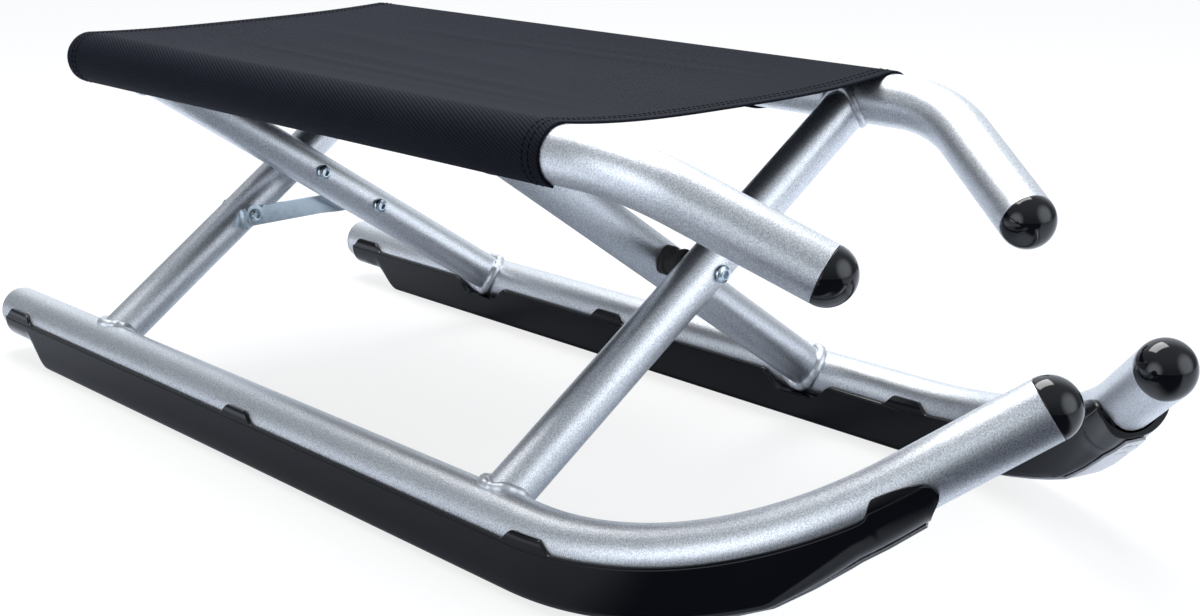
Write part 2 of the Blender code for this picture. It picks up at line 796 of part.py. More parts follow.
def strip_screw(name, line, side, s):
    """Flat-headed screw of a steel strip, flush with its lower face."""
    frame = ShoeFrame(line, side, s)
    head = SCREW_HEAD_D / 2
    low = strip_bottom(line, s)
    profile = [
        (0.0, 0.0),
        (head * 0.96, 0.0),
        (head, -STRIP_T * 0.2),
        (head, -STRIP_T),
        (SCREW_D / 2, -STRIP_T),
        (SCREW_D / 2, -SCREW_LENGTH),
        (0.0, -SCREW_LENGTH),
    ]
    screw = turned(name, profile, frame.place(0.0, low), frame.down, BORE_SIDES)
    return finish_part(bake(screw), name, STEEL, CARRIERS[side])


# Fasteners
def hex_prism(name, place, direction, across, height):
    """Six-sided prism that stands on place."""
    made = cylinder(name, place, place + direction * height, across / math.sqrt(3.0), 6)
    return made


def button_bolt(name, seat, direction, length, carrier, diameter=BOLT_D, head=HEAD_D):
    """Button-head bolt: its head's underside at seat, its shank runs against direction."""
    shank = diameter / 2
    rise = HEAD_H * head / HEAD_D
    dome = arc_points((0.0, rise * 0.25), (head / 2, rise * 0.75), math.radians(64), 0.0, 3)
    tip = THREAD_END * 0.5
    profile = [(0.0, dome[0][1]), *dome, (head / 2, 0.0), (shank, 0.0), (shank, -length + tip)]
    profile += [(shank - tip, -length), (0.0, -length)]
    bolt = turned(name, profile, seat, direction)
    top = seat + direction * (dome[0][1] - SOCKET_DEPTH)
    socket = hex_prism(f"{name}_socket", top, direction, SOCKET_ACROSS, SOCKET_DEPTH * 2)
    boolean(bolt, to_cutter(socket), "DIFFERENCE")
    return finish_part(bake(bolt), name, ZINC, carrier)


def lock_nut(name, seat, direction, carrier, diameter=BOLT_D):
    """Hexagon nut with a round collar, standing on seat."""
    body = hex_prism(name, seat, direction, NUT_ACROSS, NUT_H - NUT_COLLAR)
    start = seat + direction * (NUT_H - NUT_COLLAR * 1.5)
    collar = cylinder(f"{name}_collar", start, seat + direction * NUT_H, NUT_ACROSS * 0.46)
    boolean(body, to_cutter(collar), "UNION")
    hole = cylinder(
        f"{name}_bore", seat - direction * NUT_H, seat + direction * NUT_H * 2,
        diameter / 2 + BOLT_PLAY, BORE_SIDES,
    )
    boolean(body, to_cutter(hole), "DIFFERENCE")
    return finish_part(bake(body), name, ZINC, carrier)


def flat_ring(name, seat, direction, outer, thickness, material, carrier):
    """Washer or spacer with a bolt bore, standing on seat."""
    ring = turned(name, ring_profile(BORE_R, outer / 2, 0.0, thickness), seat, direction)
    return finish_part(bake(ring), name, material, carrier)


def crown(leg, below, facing):
    """Point of a leg's skin that faces forward (1) or back (-1), at a distance below the pivot line."""
    return leg.at(below) + ALONG * (LEG_R * facing)


def seat_on(leg, below, facing, diameter):
    """Place of a flat face of this diameter that just clears a raked leg."""
    return crown(leg, below, facing) + ALONG * (facing * (GAP + abs(leg.rake) * diameter / 2))


def front_pivot():
    """Front crossing: bolt head on the outer leg, black bushing between the legs, nut behind."""
    outer = LEGS["outer_front_leg"]
    inner = LEGS["inner_front_leg"]
    head_seat = seat_on(outer, 0.0, 1.0, HEAD_D)
    washer_seat = seat_on(inner, 0.0, -1.0, WASHER_D)
    nut_seat = washer_seat - ALONG * (WASHER_T + GAP)
    end = nut_seat - ALONG * (NUT_H + THREAD_END)
    button_bolt("front_pivot_bolt", head_seat, ALONG, (head_seat - end).x, OUTER_FRAME)
    flat_ring("front_pivot_washer", washer_seat, -ALONG, WASHER_D, WASHER_T, ZINC, OUTER_FRAME)
    lock_nut("front_pivot_nut", nut_seat, -ALONG, OUTER_FRAME)
    front_bushing(inner, seat_on(outer, 0.0, -1.0, BUSHING_D))


def front_bushing(inner, face):
    """Flanged bushing saddled on the inner leg, flat where the outer leg turns on it."""
    name = "front_pivot_bushing"
    foot = inner.at(0.0)
    front_crown = crown(inner, 0.0, 1.0)
    length = face.x - foot.x
    flange_top = front_crown.x - foot.x + BUSHING_FLANGE_T
    profile = [
        (BORE_R, length),
        (BUSHING_D / 2, length),
        (BUSHING_D / 2, flange_top),
        (BUSHING_FLANGE_D / 2, flange_top - 0.0012),
        (BUSHING_FLANGE_D / 2, 0.0),
        (BORE_R, 0.0),
        (BORE_R, length),
    ]
    body = turned(name, profile, foot, ALONG)
    saddle = cylinder(f"{name}_saddle", inner.foot, inner.head, LEG_R + GAP, TUBE_SIDES * 2)
    boolean(body, to_cutter(saddle), "DIFFERENCE")
    return finish_part(bake(body), name, BLACK_RUBBER, INNER_FRAME)


def rear_pivot():
    """Rear crossing: bolt head on the inner leg, thin spacer between the legs, nut behind."""
    outer = LEGS["outer_rear_leg"]
    inner = LEGS["inner_rear_leg"]
    head_seat = seat_on(inner, 0.0, 1.0, HEAD_D)
    spacer_seat = seat_on(outer, 0.0, 1.0, REAR_SPACER_D)
    spacer = seat_on(inner, 0.0, -1.0, REAR_SPACER_D).x - spacer_seat.x
    washer_seat = seat_on(outer, 0.0, -1.0, WASHER_D)
    nut_seat = washer_seat - ALONG * (WASHER_T + GAP)
    end = nut_seat - ALONG * (NUT_H + THREAD_END)
    button_bolt("rear_pivot_bolt", head_seat, ALONG, (head_seat - end).x, INNER_FRAME)
    flat_ring("rear_pivot_spacer", spacer_seat, ALONG, REAR_SPACER_D, spacer, BLACK_RUBBER, INNER_FRAME)
    flat_ring("rear_pivot_washer", washer_seat, -ALONG, WASHER_D, WASHER_T, ZINC, INNER_FRAME)
    lock_nut("rear_pivot_nut", nut_seat, -ALONG, INNER_FRAME)


# Lock strut
def strut_planes():
    """Back face of the strut at its hook end, and its front face at its pivot end."""
    back = crown(LEGS["outer_rear_leg"], STRUT_CATCH, 1.0).x + STRUT_SEAT
    front = crown(LEGS["inner_rear_leg"], STRUT_PIVOT, -1.0).x - STRUT_CLEAR
    return back, front


def strut_sheet(pivot, catch, back, front):
    """Joggled sheet of the strut, bent from one strip, with its finger tab turned forward."""
    end_y = catch.y - STRUT_PAST_CATCH
    knee = STRUT_BEND_RADIUS + STRUT_T
    stations = [
        (pivot.y + STRUT_H, front - STRUT_T),
        (pivot.y - STRUT_JOGGLE[0], front - STRUT_T),
        (pivot.y - STRUT_JOGGLE[1], back),
        (end_y + knee, back),
    ]
    tab = arc_points((end_y + knee, back + knee), (knee, knee), -math.pi / 2, -math.pi, 4)
    stations += tab[1:] + [(end_y, back + STRUT_T + STRUT_TAB)]
    work = bmesh.new()
    low = [work.verts.new((x, y, pivot.z - STRUT_H)) for y, x in stations]
    high = [work.verts.new((x, y, pivot.z + STRUT_H)) for y, x in stations]
    for i in range(len(stations) - 1):
        work.faces.new((low[i], low[i + 1], high[i + 1], high[i]))
    mesh = bpy.data.meshes.new("lock_strut")
    work.to_mesh(mesh)
    work.free()
    sheet = new_object("lock_strut", mesh)
    solid = sheet.modifiers.new("sheet", "SOLIDIFY")
    solid.thickness = STRUT_T
    solid.offset = -1.0
    solid.use_even_offset = True
    return sheet


def flat_cutter(name, points, start, end):
    """Prism along X between two stations, from an outline of (y, z) points."""
    sections = [[Vector((x, y, z)) for y, z in points] for x in (start, end)]
    return to_cutter(loft(name, sections))


def strut_outline(pivot, catch):
    """Outline of the strut seen from the front: a bar with a round end about its pivot."""
    half = STRUT_H / 2
    right = arc_points((pivot.y, pivot.z), (half, half), -math.pi / 2, math.pi / 2, 10)
    left = catch.y - STRUT_PAST_CATCH - STRUT_T
    return right + [(left, pivot.z + half), (left, pivot.z - half)]


def hook_outline(catch, along):
    """Outline of the hook slot, which opens upward and leans towards the strut's pivot."""
    radius = SHAFT_R + HOOK_PLAY
    lean = math.atan2(along.z, along.y) - math.pi / 2 - HOOK_TILT + math.pi / 2
    reach = STRUT_H
    near = lean - HOOK_MOUTH
    far = lean + HOOK_MOUTH
    start = lean + math.pi / 2
    seat = arc_points((catch.y, catch.z), (radius, radius), start, start + math.pi, 8)
    first, last = seat[0], seat[-1]
    mouth = [
        (last[0] + math.cos(near) * reach, last[1] + math.sin(near) * reach),
        (first[0] + math.cos(far) * reach, first[1] + math.sin(far) * reach),
    ]
    return seat + mouth


def lock_strut():
    """Strut that hooks over the catch bolt, with the bolt, spacer and nut that it swings on."""
    inner = LEGS["inner_rear_leg"]
    outer = LEGS["outer_rear_leg"]
    pivot = inner.at(STRUT_PIVOT)
    catch = outer.at(STRUT_CATCH)
    catch.z = pivot.z
    back, front = strut_planes()
    reach = HEAD_D
    strut = strut_sheet(pivot, catch, back, front)
    outline = flat_cutter("lock_strut_outline", strut_outline(pivot, catch), back - reach, front + reach)
    boolean(strut, outline, "INTERSECT")
    up = Vector((0.0, 0.0, 1.0))
    hook = flat_cutter("lock_strut_hook", hook_outline(outer.at(STRUT_CATCH), up), back - reach, front + reach)
    boolean(strut, hook, "DIFFERENCE")
    hole = cylinder("lock_strut_bore", pivot - ALONG * STRUT_CATCH, pivot, BORE_R, BORE_SIDES)
    boolean(strut, to_cutter(hole), "DIFFERENCE")
    finish_part(bake(strut), "lock_strut", ZINC, INNER_FRAME, Vector((front, pivot.y, pivot.z)))

    head_seat = seat_on(inner, STRUT_PIVOT, 1.0, HEAD_D)
    spacer_seat = seat_on(inner, STRUT_PIVOT, -1.0, STRUT_SPACER_D)
    spacer = spacer_seat.x - front - GAP
    nut_seat = Vector((front - STRUT_T - GAP, pivot.y, pivot.z))
    end = nut_seat - ALONG * (NUT_H + THREAD_END)
    button_bolt("strut_pivot_bolt", head_seat, ALONG, (head_seat - end).x, INNER_FRAME)
    flat_ring("strut_pivot_spacer", spacer_seat, -ALONG, STRUT_SPACER_D, spacer, ZINC, INNER_FRAME)
    lock_nut("strut_pivot_nut", nut_seat, -ALONG, INNER_FRAME)

    place = outer.at(STRUT_CATCH)
    washer_seat = Vector((back + STRUT_T + GAP, place.y, place.z))
    bolt_seat = washer_seat + ALONG * (WASHER_T + GAP)
    catch_nut_seat = seat_on(outer, STRUT_CATCH, -1.0, NUT_ACROSS)
    catch_end = catch_nut_seat - ALONG * (NUT_H + THREAD_END)
    button_bolt("catch_bolt", bolt_seat, ALONG, (bolt_seat - catch_end).x, OUTER_FRAME, head=HEAD_D * 0.82)
    flat_ring("catch_washer", washer_seat, ALONG, WASHER_D, WASHER_T, ZINC, OUTER_FRAME)
    lock_nut("catch_nut", catch_nut_seat, -ALONG, OUTER_FRAME)


# Seat cloth
def cloth_front(y):
    """Station of the cloth's front hem at a place across the sled."""
    share = y / SEAT_Y
    straight = (CLOTH_FRONT_LEFT + CLOTH_FRONT_RIGHT) / 2
    return straight + (CLOTH_FRONT_LEFT - CLOTH_FRONT_RIGHT) / 2 * share - CLOTH_FRONT_BOW * (1.0 - share ** 2)


def cloth_sag(share, y):
    """Drop of the cloth under the straight line between the tops of the seat tubes."""
    ends = CLOTH_REAR_SAG + (CLOTH_FRONT_SAG - CLOTH_REAR_SAG) * share
    depth = ends + (CLOTH_MIDDLE_SAG - ends) * math.sin(math.pi * share)
    shoulder = max(min((SEAT_Y - abs(y)) / CLOTH_SHOULDER, 1.0), 0.0)
    return depth * (3.0 * shoulder ** 2 - 2.0 * shoulder ** 3)


def cloth_panel(skin):
    """Taut panel between the tops of the seat tubes."""
    along = [i / 10 for i in range(11)]
    across = [i / 12 * (SEAT_Y - CLOTH_EDGE) for i in range(-12, 13)]
    work = bmesh.new()
    rows = []
    for share in along:
        row = []
        for y in across:
            station = CLOTH_REAR + (cloth_front(y) - CLOTH_REAR) * share
            top = SEAT_Z + skin - cloth_sag(share, y) - CLOTH_T * 0.2
            row.append(work.verts.new((X0 + station, y, top)))
        rows.append(row)
    for row, following in zip(rows, rows[1:]):
        for i in range(len(across) - 1):
            work.faces.new((row[i], following[i], following[i + 1], row[i + 1]))
    mesh = bpy.data.meshes.new("seat_cloth")
    work.to_mesh(mesh)
    work.free()
    panel = new_object("seat_cloth", mesh)
    solid = panel.modifiers.new("cloth", "SOLIDIFY")
    solid.thickness = CLOTH_T
    solid.offset = -1.0
    return bake(panel)


def leg_cut_out(side, start, end):
    """Cutter that opens a sleeve on its inner lower side, where a leg meets the seat tube."""
    reach = TUBE_R + CLOTH_PLAY + CLOTH_T * 1.7
    corners = [(0.0, 0.0)]
    for i in range(6):
        angle = CLOTH_CUT_OUT_FROM + (CLOTH_CUT_OUT_TO - CLOTH_CUT_OUT_FROM) * i / 5
        corners.append((-side * math.cos(angle) * reach, math.sin(angle) * reach))
    outline = [(side * SEAT_Y + y, SEAT_Z + z) for y, z in corners]
    return flat_cutter("seat_cloth_cut_out", outline, X0 + start, X0 + end)


def seat_cloth():
    """Cloth seat: one panel with a sewn sleeve round each seat tube, open where the legs stand."""
    inside = TUBE_R + CLOTH_PLAY
    skin = inside + CLOTH_T
    panel = cloth_panel(skin)
    past = ALONG * CLOTH_SHOULDER
    cutters = []
    fronts = {OUTER: OUTER_FRONT_LEG[1], INNER: INNER_FRONT_LEG[1]}
    rears = {OUTER: OUTER_REAR_LEG[1], INNER: INNER_REAR_LEG[1]}
    for side in (OUTER, INNER):
        rear = Vector((X0 + CLOTH_REAR - SLEEVE_PAST_HEM, side * SEAT_Y, SEAT_Z))
        front = Vector((X0 + cloth_front(side * SEAT_Y) + SLEEVE_PAST_HEM, side * SEAT_Y, SEAT_Z))
        sleeve = cylinder("seat_cloth_sleeve", rear, front, skin, TUBE_SIDES)
        boolean(panel, to_cutter(sleeve), "UNION")
        bore = cylinder("seat_cloth_bore", rear - past, front + past, inside, TUBE_SIDES)
        cutters.append(to_cutter(bore))
        cutters.append(leg_cut_out(side, CLOTH_REAR - TUBE_D, rears[side] + CLOTH_CUT_OUT[0]))
        cutters.append(leg_cut_out(side, fronts[side] - CLOTH_CUT_OUT[1], CLOTH_FRONT_LEFT + TUBE_D))
    for cutter in cutters:
        boolean(panel, cutter, "DIFFERENCE")
    return finish_part(bake(panel), "seat_cloth", CLOTH, OUTER_FRAME)


def build():
    """Makes every piece of the sled."""
    for side, word, hand in ((OUTER, "outer", "right"), (INNER, "inner", "left")):
        runner = runner_line(side)
        seat = seat_line(side)
        frame_tube(f"{word}_runner_tube", runner, side, BEND_STEPS)
        frame_tube(f"{word}_seat_tube", seat, side, HANDLE_STEPS)
        ball_cap(f"{word}_runner_ball_cap", runner, side)
        ball_cap(f"{word}_handle_ball_cap", seat, side)
        end_plug(f"{word}_runner_end_plug", runner, side)
        end_plug(f"{word}_seat_end_plug", seat, side)
        runner_shoe(hand, runner, side)
        steel_strip(hand, runner, side)
        for name, s in zip(screw_names(hand), screw_stations(runner)):
            strip_screw(name, runner, side, s)
    for name, leg in LEGS.items():
        frame_leg(name, leg)
    front_pivot()
    rear_pivot()
    lock_strut()
    seat_cloth()
    bpy.context.view_layer.update()


build()
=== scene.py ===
"""Looks of the folding steering sled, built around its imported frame.

The CAD gives the sizes, places and bodies. Here every piece gets its smooth mesh and its finish: blasted
aluminium tubes with uneven weld beads, moulded runner shoes, plated fasteners, steel strips and a woven
seat.
"""

import logging
import math
from dataclasses import dataclass
from enum import Enum
from typing import Any, Iterable, Sequence

import bmesh
import bpy
from mathutils import Matrix, Vector


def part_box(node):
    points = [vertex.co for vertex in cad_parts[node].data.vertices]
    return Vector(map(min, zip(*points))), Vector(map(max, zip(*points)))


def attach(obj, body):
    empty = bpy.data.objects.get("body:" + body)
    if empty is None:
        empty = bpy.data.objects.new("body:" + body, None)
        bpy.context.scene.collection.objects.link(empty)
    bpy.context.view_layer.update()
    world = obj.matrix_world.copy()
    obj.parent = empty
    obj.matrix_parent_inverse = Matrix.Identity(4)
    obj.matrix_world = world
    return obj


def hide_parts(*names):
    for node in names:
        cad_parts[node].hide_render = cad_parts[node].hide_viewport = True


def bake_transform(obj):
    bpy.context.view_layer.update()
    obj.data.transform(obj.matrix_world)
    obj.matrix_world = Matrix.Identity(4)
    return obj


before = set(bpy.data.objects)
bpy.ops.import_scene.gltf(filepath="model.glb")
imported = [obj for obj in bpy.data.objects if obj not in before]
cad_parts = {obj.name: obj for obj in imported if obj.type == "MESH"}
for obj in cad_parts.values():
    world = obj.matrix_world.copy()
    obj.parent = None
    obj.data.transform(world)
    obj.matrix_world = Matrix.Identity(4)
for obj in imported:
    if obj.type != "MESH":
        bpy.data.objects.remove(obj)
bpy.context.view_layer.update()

LOG = logging.getLogger("steering_sled")
ALONG = Vector((1.0, 0.0, 0.0))
UP = Vector((0.0, 0.0, 1.0))
# Share of a rounded edge's width at which the middle point of its rounding stands off both faces.
KNEE = 0.3
# Points nearer to each other than this are merged, in new meshes and in copies of the CAD's.
MERGE = 1e-7
CAD_MERGE = 1e-6
Span = tuple[float, float]
Triple = tuple[float, float, float]
Colour = Triple


def smooth_step(value: float, low: float, high: float) -> float:
    """Goes from 0 at low to 1 at high with flat ends."""
    share = min(max((value - low) / (high - low), 0.0), 1.0)
    return share * share * (3.0 - 2.0 * share)


def between(value: float, start: float, end: float, low: float, high: float) -> float:
    """Goes evenly from low at start to high at end."""
    share = min(max((value - start) / (end - start), 0.0), 1.0)
    return low + (high - low) * share


def arc(centre: Span, radii: Span, start: float, end: float, steps: int
        ) -> list[Span]:
    """Points of an elliptical arc, both ends included.

    Args:
        centre: Middle of the ellipse.
        radii: Its two half axes.
        start: First angle, in radians.
        end: Last angle, in radians.
        steps: Number of even steps.

    Returns:
        The points, as pairs.
    """
    angles = [start + (end - start) * i / steps for i in range(steps + 1)]
    return [(centre[0] + radii[0] * math.cos(a), centre[1] + radii[1] * math.sin(a)) for a in angles]


class Wire:
    """A number that changes over a surface: an output socket that can be used in sums."""

    def __init__(self, board: "Board", socket: bpy.types.NodeSocket) -> None:
        """Holds the socket and the board that its maths goes on."""
        self.board = board
        self.socket = socket

    def __add__(self, other: "Number") -> "Wire":
        """Sum."""
        return self.board.math("ADD", self, other)

    def __radd__(self, other: float) -> "Wire":
        """Sum with a number on the left."""
        return self.board.math("ADD", other, self)

    def __sub__(self, other: "Number") -> "Wire":
        """Difference."""
        return self.board.math("SUBTRACT", self, other)

    def __rsub__(self, other: float) -> "Wire":
        """Difference from a number on the left."""
        return self.board.math("SUBTRACT", other, self)

    def __mul__(self, other: "Number") -> "Wire":
        """Product."""
        return self.board.math("MULTIPLY", self, other)



Number = Wire | float


class Board:
    """A node tree that is written as Python expressions."""

    def __init__(self, tree: bpy.types.NodeTree) -> None:
        """Starts from an empty tree."""
        self.tree = tree
        self.tree.nodes.clear()

    def node(self, kind: str, settings: dict[str, Any] | None = None,
             sockets: dict[str | int, Any] | None = None) -> bpy.types.Node:
        """Adds a node of any type.

        Args:
            kind: The node's type.
            settings: Its own settings, which are set first.
            sockets: Values or wires for its inputs, by name or number.

        Returns:
            The new node.
        """
        made = self.tree.nodes.new(kind)
        for key, value in (settings or {}).items():
            setattr(made, key, value)
        for key, value in (sockets or {}).items():
            socket = made.inputs[key]
            if isinstance(value, Wire):
                self.tree.links.new(value.socket, socket)
            else:
                socket.default_value = value
        return made

    def wire(self, kind: str, settings: dict[str, Any] | None = None,
             sockets: dict[str | int, Any] | None = None, output: str | int = 0) -> Wire:
        """Adds a node and gives one of its outputs."""
        return Wire(self, self.node(kind, settings, sockets).outputs[output])

    def math(self, operation: str, *values: Number) -> Wire:
        """Adds a Math node."""
        return self.wire("ShaderNodeMath", {"operation": operation}, dict(enumerate(values)))

    def dot(self, first: Wire, second: Sequence[float]) -> Wire:
        """Adds a dot product with a fixed vector."""
        sockets = {0: first, 1: tuple(second)}
        return self.wire("ShaderNodeVectorMath", {"operation": "DOT_PRODUCT"}, sockets, "Value")

    def smooth(self, value: Wire, low: float, high: float) -> Wire:
        """Goes from 0 to 1 between two values of a wire, with flat ends."""
        sockets = {"Value": value, "From Min": low, "From Max": high}
        return self.wire("ShaderNodeMapRange", {"interpolation_type": "SMOOTHSTEP"}, sockets)

    def mix(self, share: Number, first: Colour | Wire, second: Colour | Wire) -> Wire:
        """Mixes two colours."""
        ends = [end if isinstance(end, Wire) else (*end, 1.0) for end in (first, second)]
        return self.wire("ShaderNodeMix", {"data_type": "RGBA"}, {0: share, 6: ends[0], 7: ends[1]}, 2)

    def noise(self, place: Wire, scale: float, detail: float = 2.0, roughness: float = 0.5) -> Wire:
        """Adds a noise texture at a number of features per metre."""
        sockets = {"Vector": place, "Scale": scale, "Detail": detail, "Roughness": roughness}
        return self.wire("ShaderNodeTexNoise", None, sockets, "Fac")

    def stretched(self, place: Wire, scale: Sequence[float]) -> Wire:
        """Stretches a place along the axes."""
        return self.wire("ShaderNodeMapping", None, {"Vector": place, "Scale": tuple(scale)})

    def bump(self, height: Wire, depth: float, strength: float) -> Wire:
        """Turns a height from 0 to 1 into a normal.

        Args:
            height: The height.
            depth: Its range, in metres.
            strength: Share of the effect.

        Returns:
            The wire of the normal.
        """
        sockets = {"Height": height, "Distance": depth, "Strength": strength}
        return self.wire("ShaderNodeBump", None, sockets)

    def place(self) -> Wire:
        """Object coordinates, in metres."""
        return self.wire("ShaderNodeTexCoord", None, None, "Object")


@dataclass(frozen=True)
class Finish:
    """A surface finish; each kind gives the sockets of a Principled shader."""

    name: str

    def sockets(self, board: Board) -> dict[str, Any]:
        """Works out the shader's inputs.

        Args:
            board: The material's tree.

        Returns:
            Values and wires by the input's name.
        """
        raise NotImplementedError

    def material(self) -> bpy.types.Material:
        """Makes the finish's material, once.

        Returns:
            The material.
        """
        made = bpy.data.materials.get(self.name)
        if made is None:
            made = bpy.data.materials.new(self.name)
            made.use_nodes = True
            board = Board(made.node_tree)
            shader = board.wire("ShaderNodeBsdfPrincipled", None, self.sockets(board))
            board.node("ShaderNodeOutputMaterial", None, {"Surface": shader})
        return made


@dataclass(frozen=True)
class BlastedAluminium(Finish):
    """Bead-blasted and clear anodised aluminium, with a fine grain and faint handling marks."""

    name: str = "blasted_aluminium"
    light: Colour = (0.89, 0.91, 0.94)
    dark: Colour = (0.47, 0.49, 0.53)
    roughness: float = 0.34
    grain: float = 1250.0
    grain_span: Span = (0.38, 0.62)
    grain_share: float = 0.80
    grain_depth: float = 0.00013
    cloud: float = 22.0
    mark: float = 95.0
    mark_stretch: Triple = (0.3, 1.0, 1.0)
    mark_span: Span = (0.58, 0.75)

    def sockets(self, board: Board) -> dict[str, Any]:
        """Grain in the colour, the roughness and the relief.

        Args:
            board: The material's tree.

        Returns:
            Values and wires by the input's name.
        """
        place = board.place()
        grain = board.noise(place, self.grain, 3.0, 0.65)
        cloud = board.noise(place, self.cloud, 3.0)
        mark = board.noise(board.stretched(place, self.mark_stretch), self.mark, 4.0)
        tone = board.smooth(grain, *self.grain_span) * self.grain_share + cloud * (1.0 - self.grain_share)
        return {
            "Base Color": board.mix(tone, self.dark, self.light),
            "Metallic": 1.0,
            "Roughness": self.roughness + grain * 0.12 + board.smooth(mark, *self.mark_span) * 0.04,
            "Normal": board.bump(grain, self.grain_depth, 0.7),
        }


@dataclass(frozen=True)
class WeldAluminium(Finish):
    """Aluminium of the weld beads: blasted like the tube, with less contrast in its grain."""

    name: str = "weld_aluminium"
    light: Colour = (0.82, 0.84, 0.87)
    dark: Colour = (0.52, 0.54, 0.58)
    roughness: float = 0.40
    frost: float = 420.0
    frost_depth: float = 0.00012

    def sockets(self, board: Board) -> dict[str, Any]:
        """Frost in the colour, the roughness and the relief.

        Args:
            board: The material's tree.

        Returns:
            Values and wires by the input's name.
        """
        frost = board.noise(board.place(), self.frost, 4.0, 0.6)
        return {
            "Base Color": board.mix(frost, self.dark, self.light),
            "Metallic": 1.0,
            "Roughness": self.roughness + frost * 0.10,
            "Normal": board.bump(frost, self.frost_depth, 0.5),
        }


@dataclass(frozen=True)
class ZincPlate(Finish):
    """Blue-bright zinc plating on pressed steel."""

    name: str = "zinc_plate"
    light: Colour = (0.70, 0.79, 0.85)
    dark: Colour = (0.48, 0.57, 0.64)
    roughness: float = 0.15
    spangle: float = 160.0
    rolled: float = 900.0
    rolled_stretch: Triple = (1.0, 0.16, 1.0)
    rolled_depth: float = 0.00003

    def sockets(self, board: Board) -> dict[str, Any]:
        """Uneven plating with short rolling marks.

        Args:
            board: The material's tree.

        Returns:
            Values and wires by the input's name.
        """
        place = board.place()
        spangle = board.noise(place, self.spangle, 4.0, 0.6)
        rolled = board.noise(board.stretched(place, self.rolled_stretch), self.rolled, 2.0)
        return {
            "Base Color": board.mix(spangle, self.dark, self.light),
            "Metallic": 1.0,
            "Roughness": self.roughness + spangle * 0.12 + rolled * 0.05,
            "Normal": board.bump(rolled, self.rolled_depth, 0.4),
        }


@dataclass(frozen=True)
class StripSteel(Finish):
    """Bright drawn steel with lengthwise drawing lines."""

    name: str = "drawn_steel"
    light: Colour = (0.68, 0.68, 0.69)
    dark: Colour = (0.44, 0.44, 0.46)
    roughness: float = 0.22
    drawn: float = 1600.0
    drawn_stretch: Triple = (0.012, 1.0, 1.0)
    drawn_depth: float = 0.00003
    scuff: float = 120.0
    scuff_span: Span = (0.60, 0.72)

    def sockets(self, board: Board) -> dict[str, Any]:
        """Lines along X with a few scuffs across them.

        Args:
            board: The material's tree.

        Returns:
            Values and wires by the input's name.
        """
        place = board.place()
        drawn = board.noise(board.stretched(place, self.drawn_stretch), self.drawn, 3.0, 0.6)
        scuff = board.smooth(board.noise(place, self.scuff, 4.0, 0.7), *self.scuff_span)
        return {
            "Base Color": board.mix(drawn, self.dark, self.light),
            "Metallic": 1.0,
            "Roughness": self.roughness + drawn * 0.14 + scuff * 0.12,
            "Normal": board.bump(drawn, self.drawn_depth, 0.5),
        }


@dataclass(frozen=True)
class GlossPlastic(Finish):
    """Glossy injection-moulded plastic."""

    name: str = "gloss_black_plastic"
    colour: Colour = (0.0027, 0.0031, 0.0048)
    worn: Colour = (0.0082, 0.0092, 0.0130)
    roughness: float = 0.10
    shine: float = 0.36
    flow: float = 60.0
    flow_stretch: Triple = (0.35, 1.0, 1.0)
    flow_depth: float = 0.00009
    dust: float = 1300.0
    dust_span: Span = (0.62, 0.80)

    def sockets(self, board: Board) -> dict[str, Any]:
        """Faint flow marks and fine dust scratches in the gloss.

        Args:
            board: The material's tree.

        Returns:
            Values and wires by the input's name.
        """
        place = board.place()
        flow = board.noise(board.stretched(place, self.flow_stretch), self.flow, 2.0)
        dust = board.smooth(board.noise(place, self.dust, 2.0, 0.7), *self.dust_span)
        return {
            "Base Color": board.mix(dust * 0.6 + flow * 0.2, self.colour, self.worn),
            "Roughness": self.roughness + flow * 0.05 + dust * 0.10,
            "Specular IOR Level": self.shine,
            "Normal": board.bump(flow, self.flow_depth, 0.35),
        }


@dataclass(frozen=True)
class MattePlastic(Finish):
    """Fine-textured plastic or rubber without gloss."""

    name: str
    colour: Colour
    worn: Colour
    roughness: float
    grain: float = 900.0
    shine: float = 0.5
    grain_depth: float = 0.00006
    cloud: float = 45.0

    def sockets(self, board: Board) -> dict[str, Any]:
        """Spark-eroded grain in the relief and a little in the colour.

        Args:
            board: The material's tree.

        Returns:
            Values and wires by the input's name.
        """
        place = board.place()
        grain = board.noise(place, self.grain, 3.0, 0.6)
        cloud = board.noise(place, self.cloud, 2.0)
        return {
            "Base Color": board.mix(grain * 0.5 + cloud * 0.4, self.colour, self.worn),
            "Roughness": self.roughness + grain * 0.12,
            "Specular IOR Level": self.shine,
            "Normal": board.bump(grain, self.grain_depth, 0.6),
        }


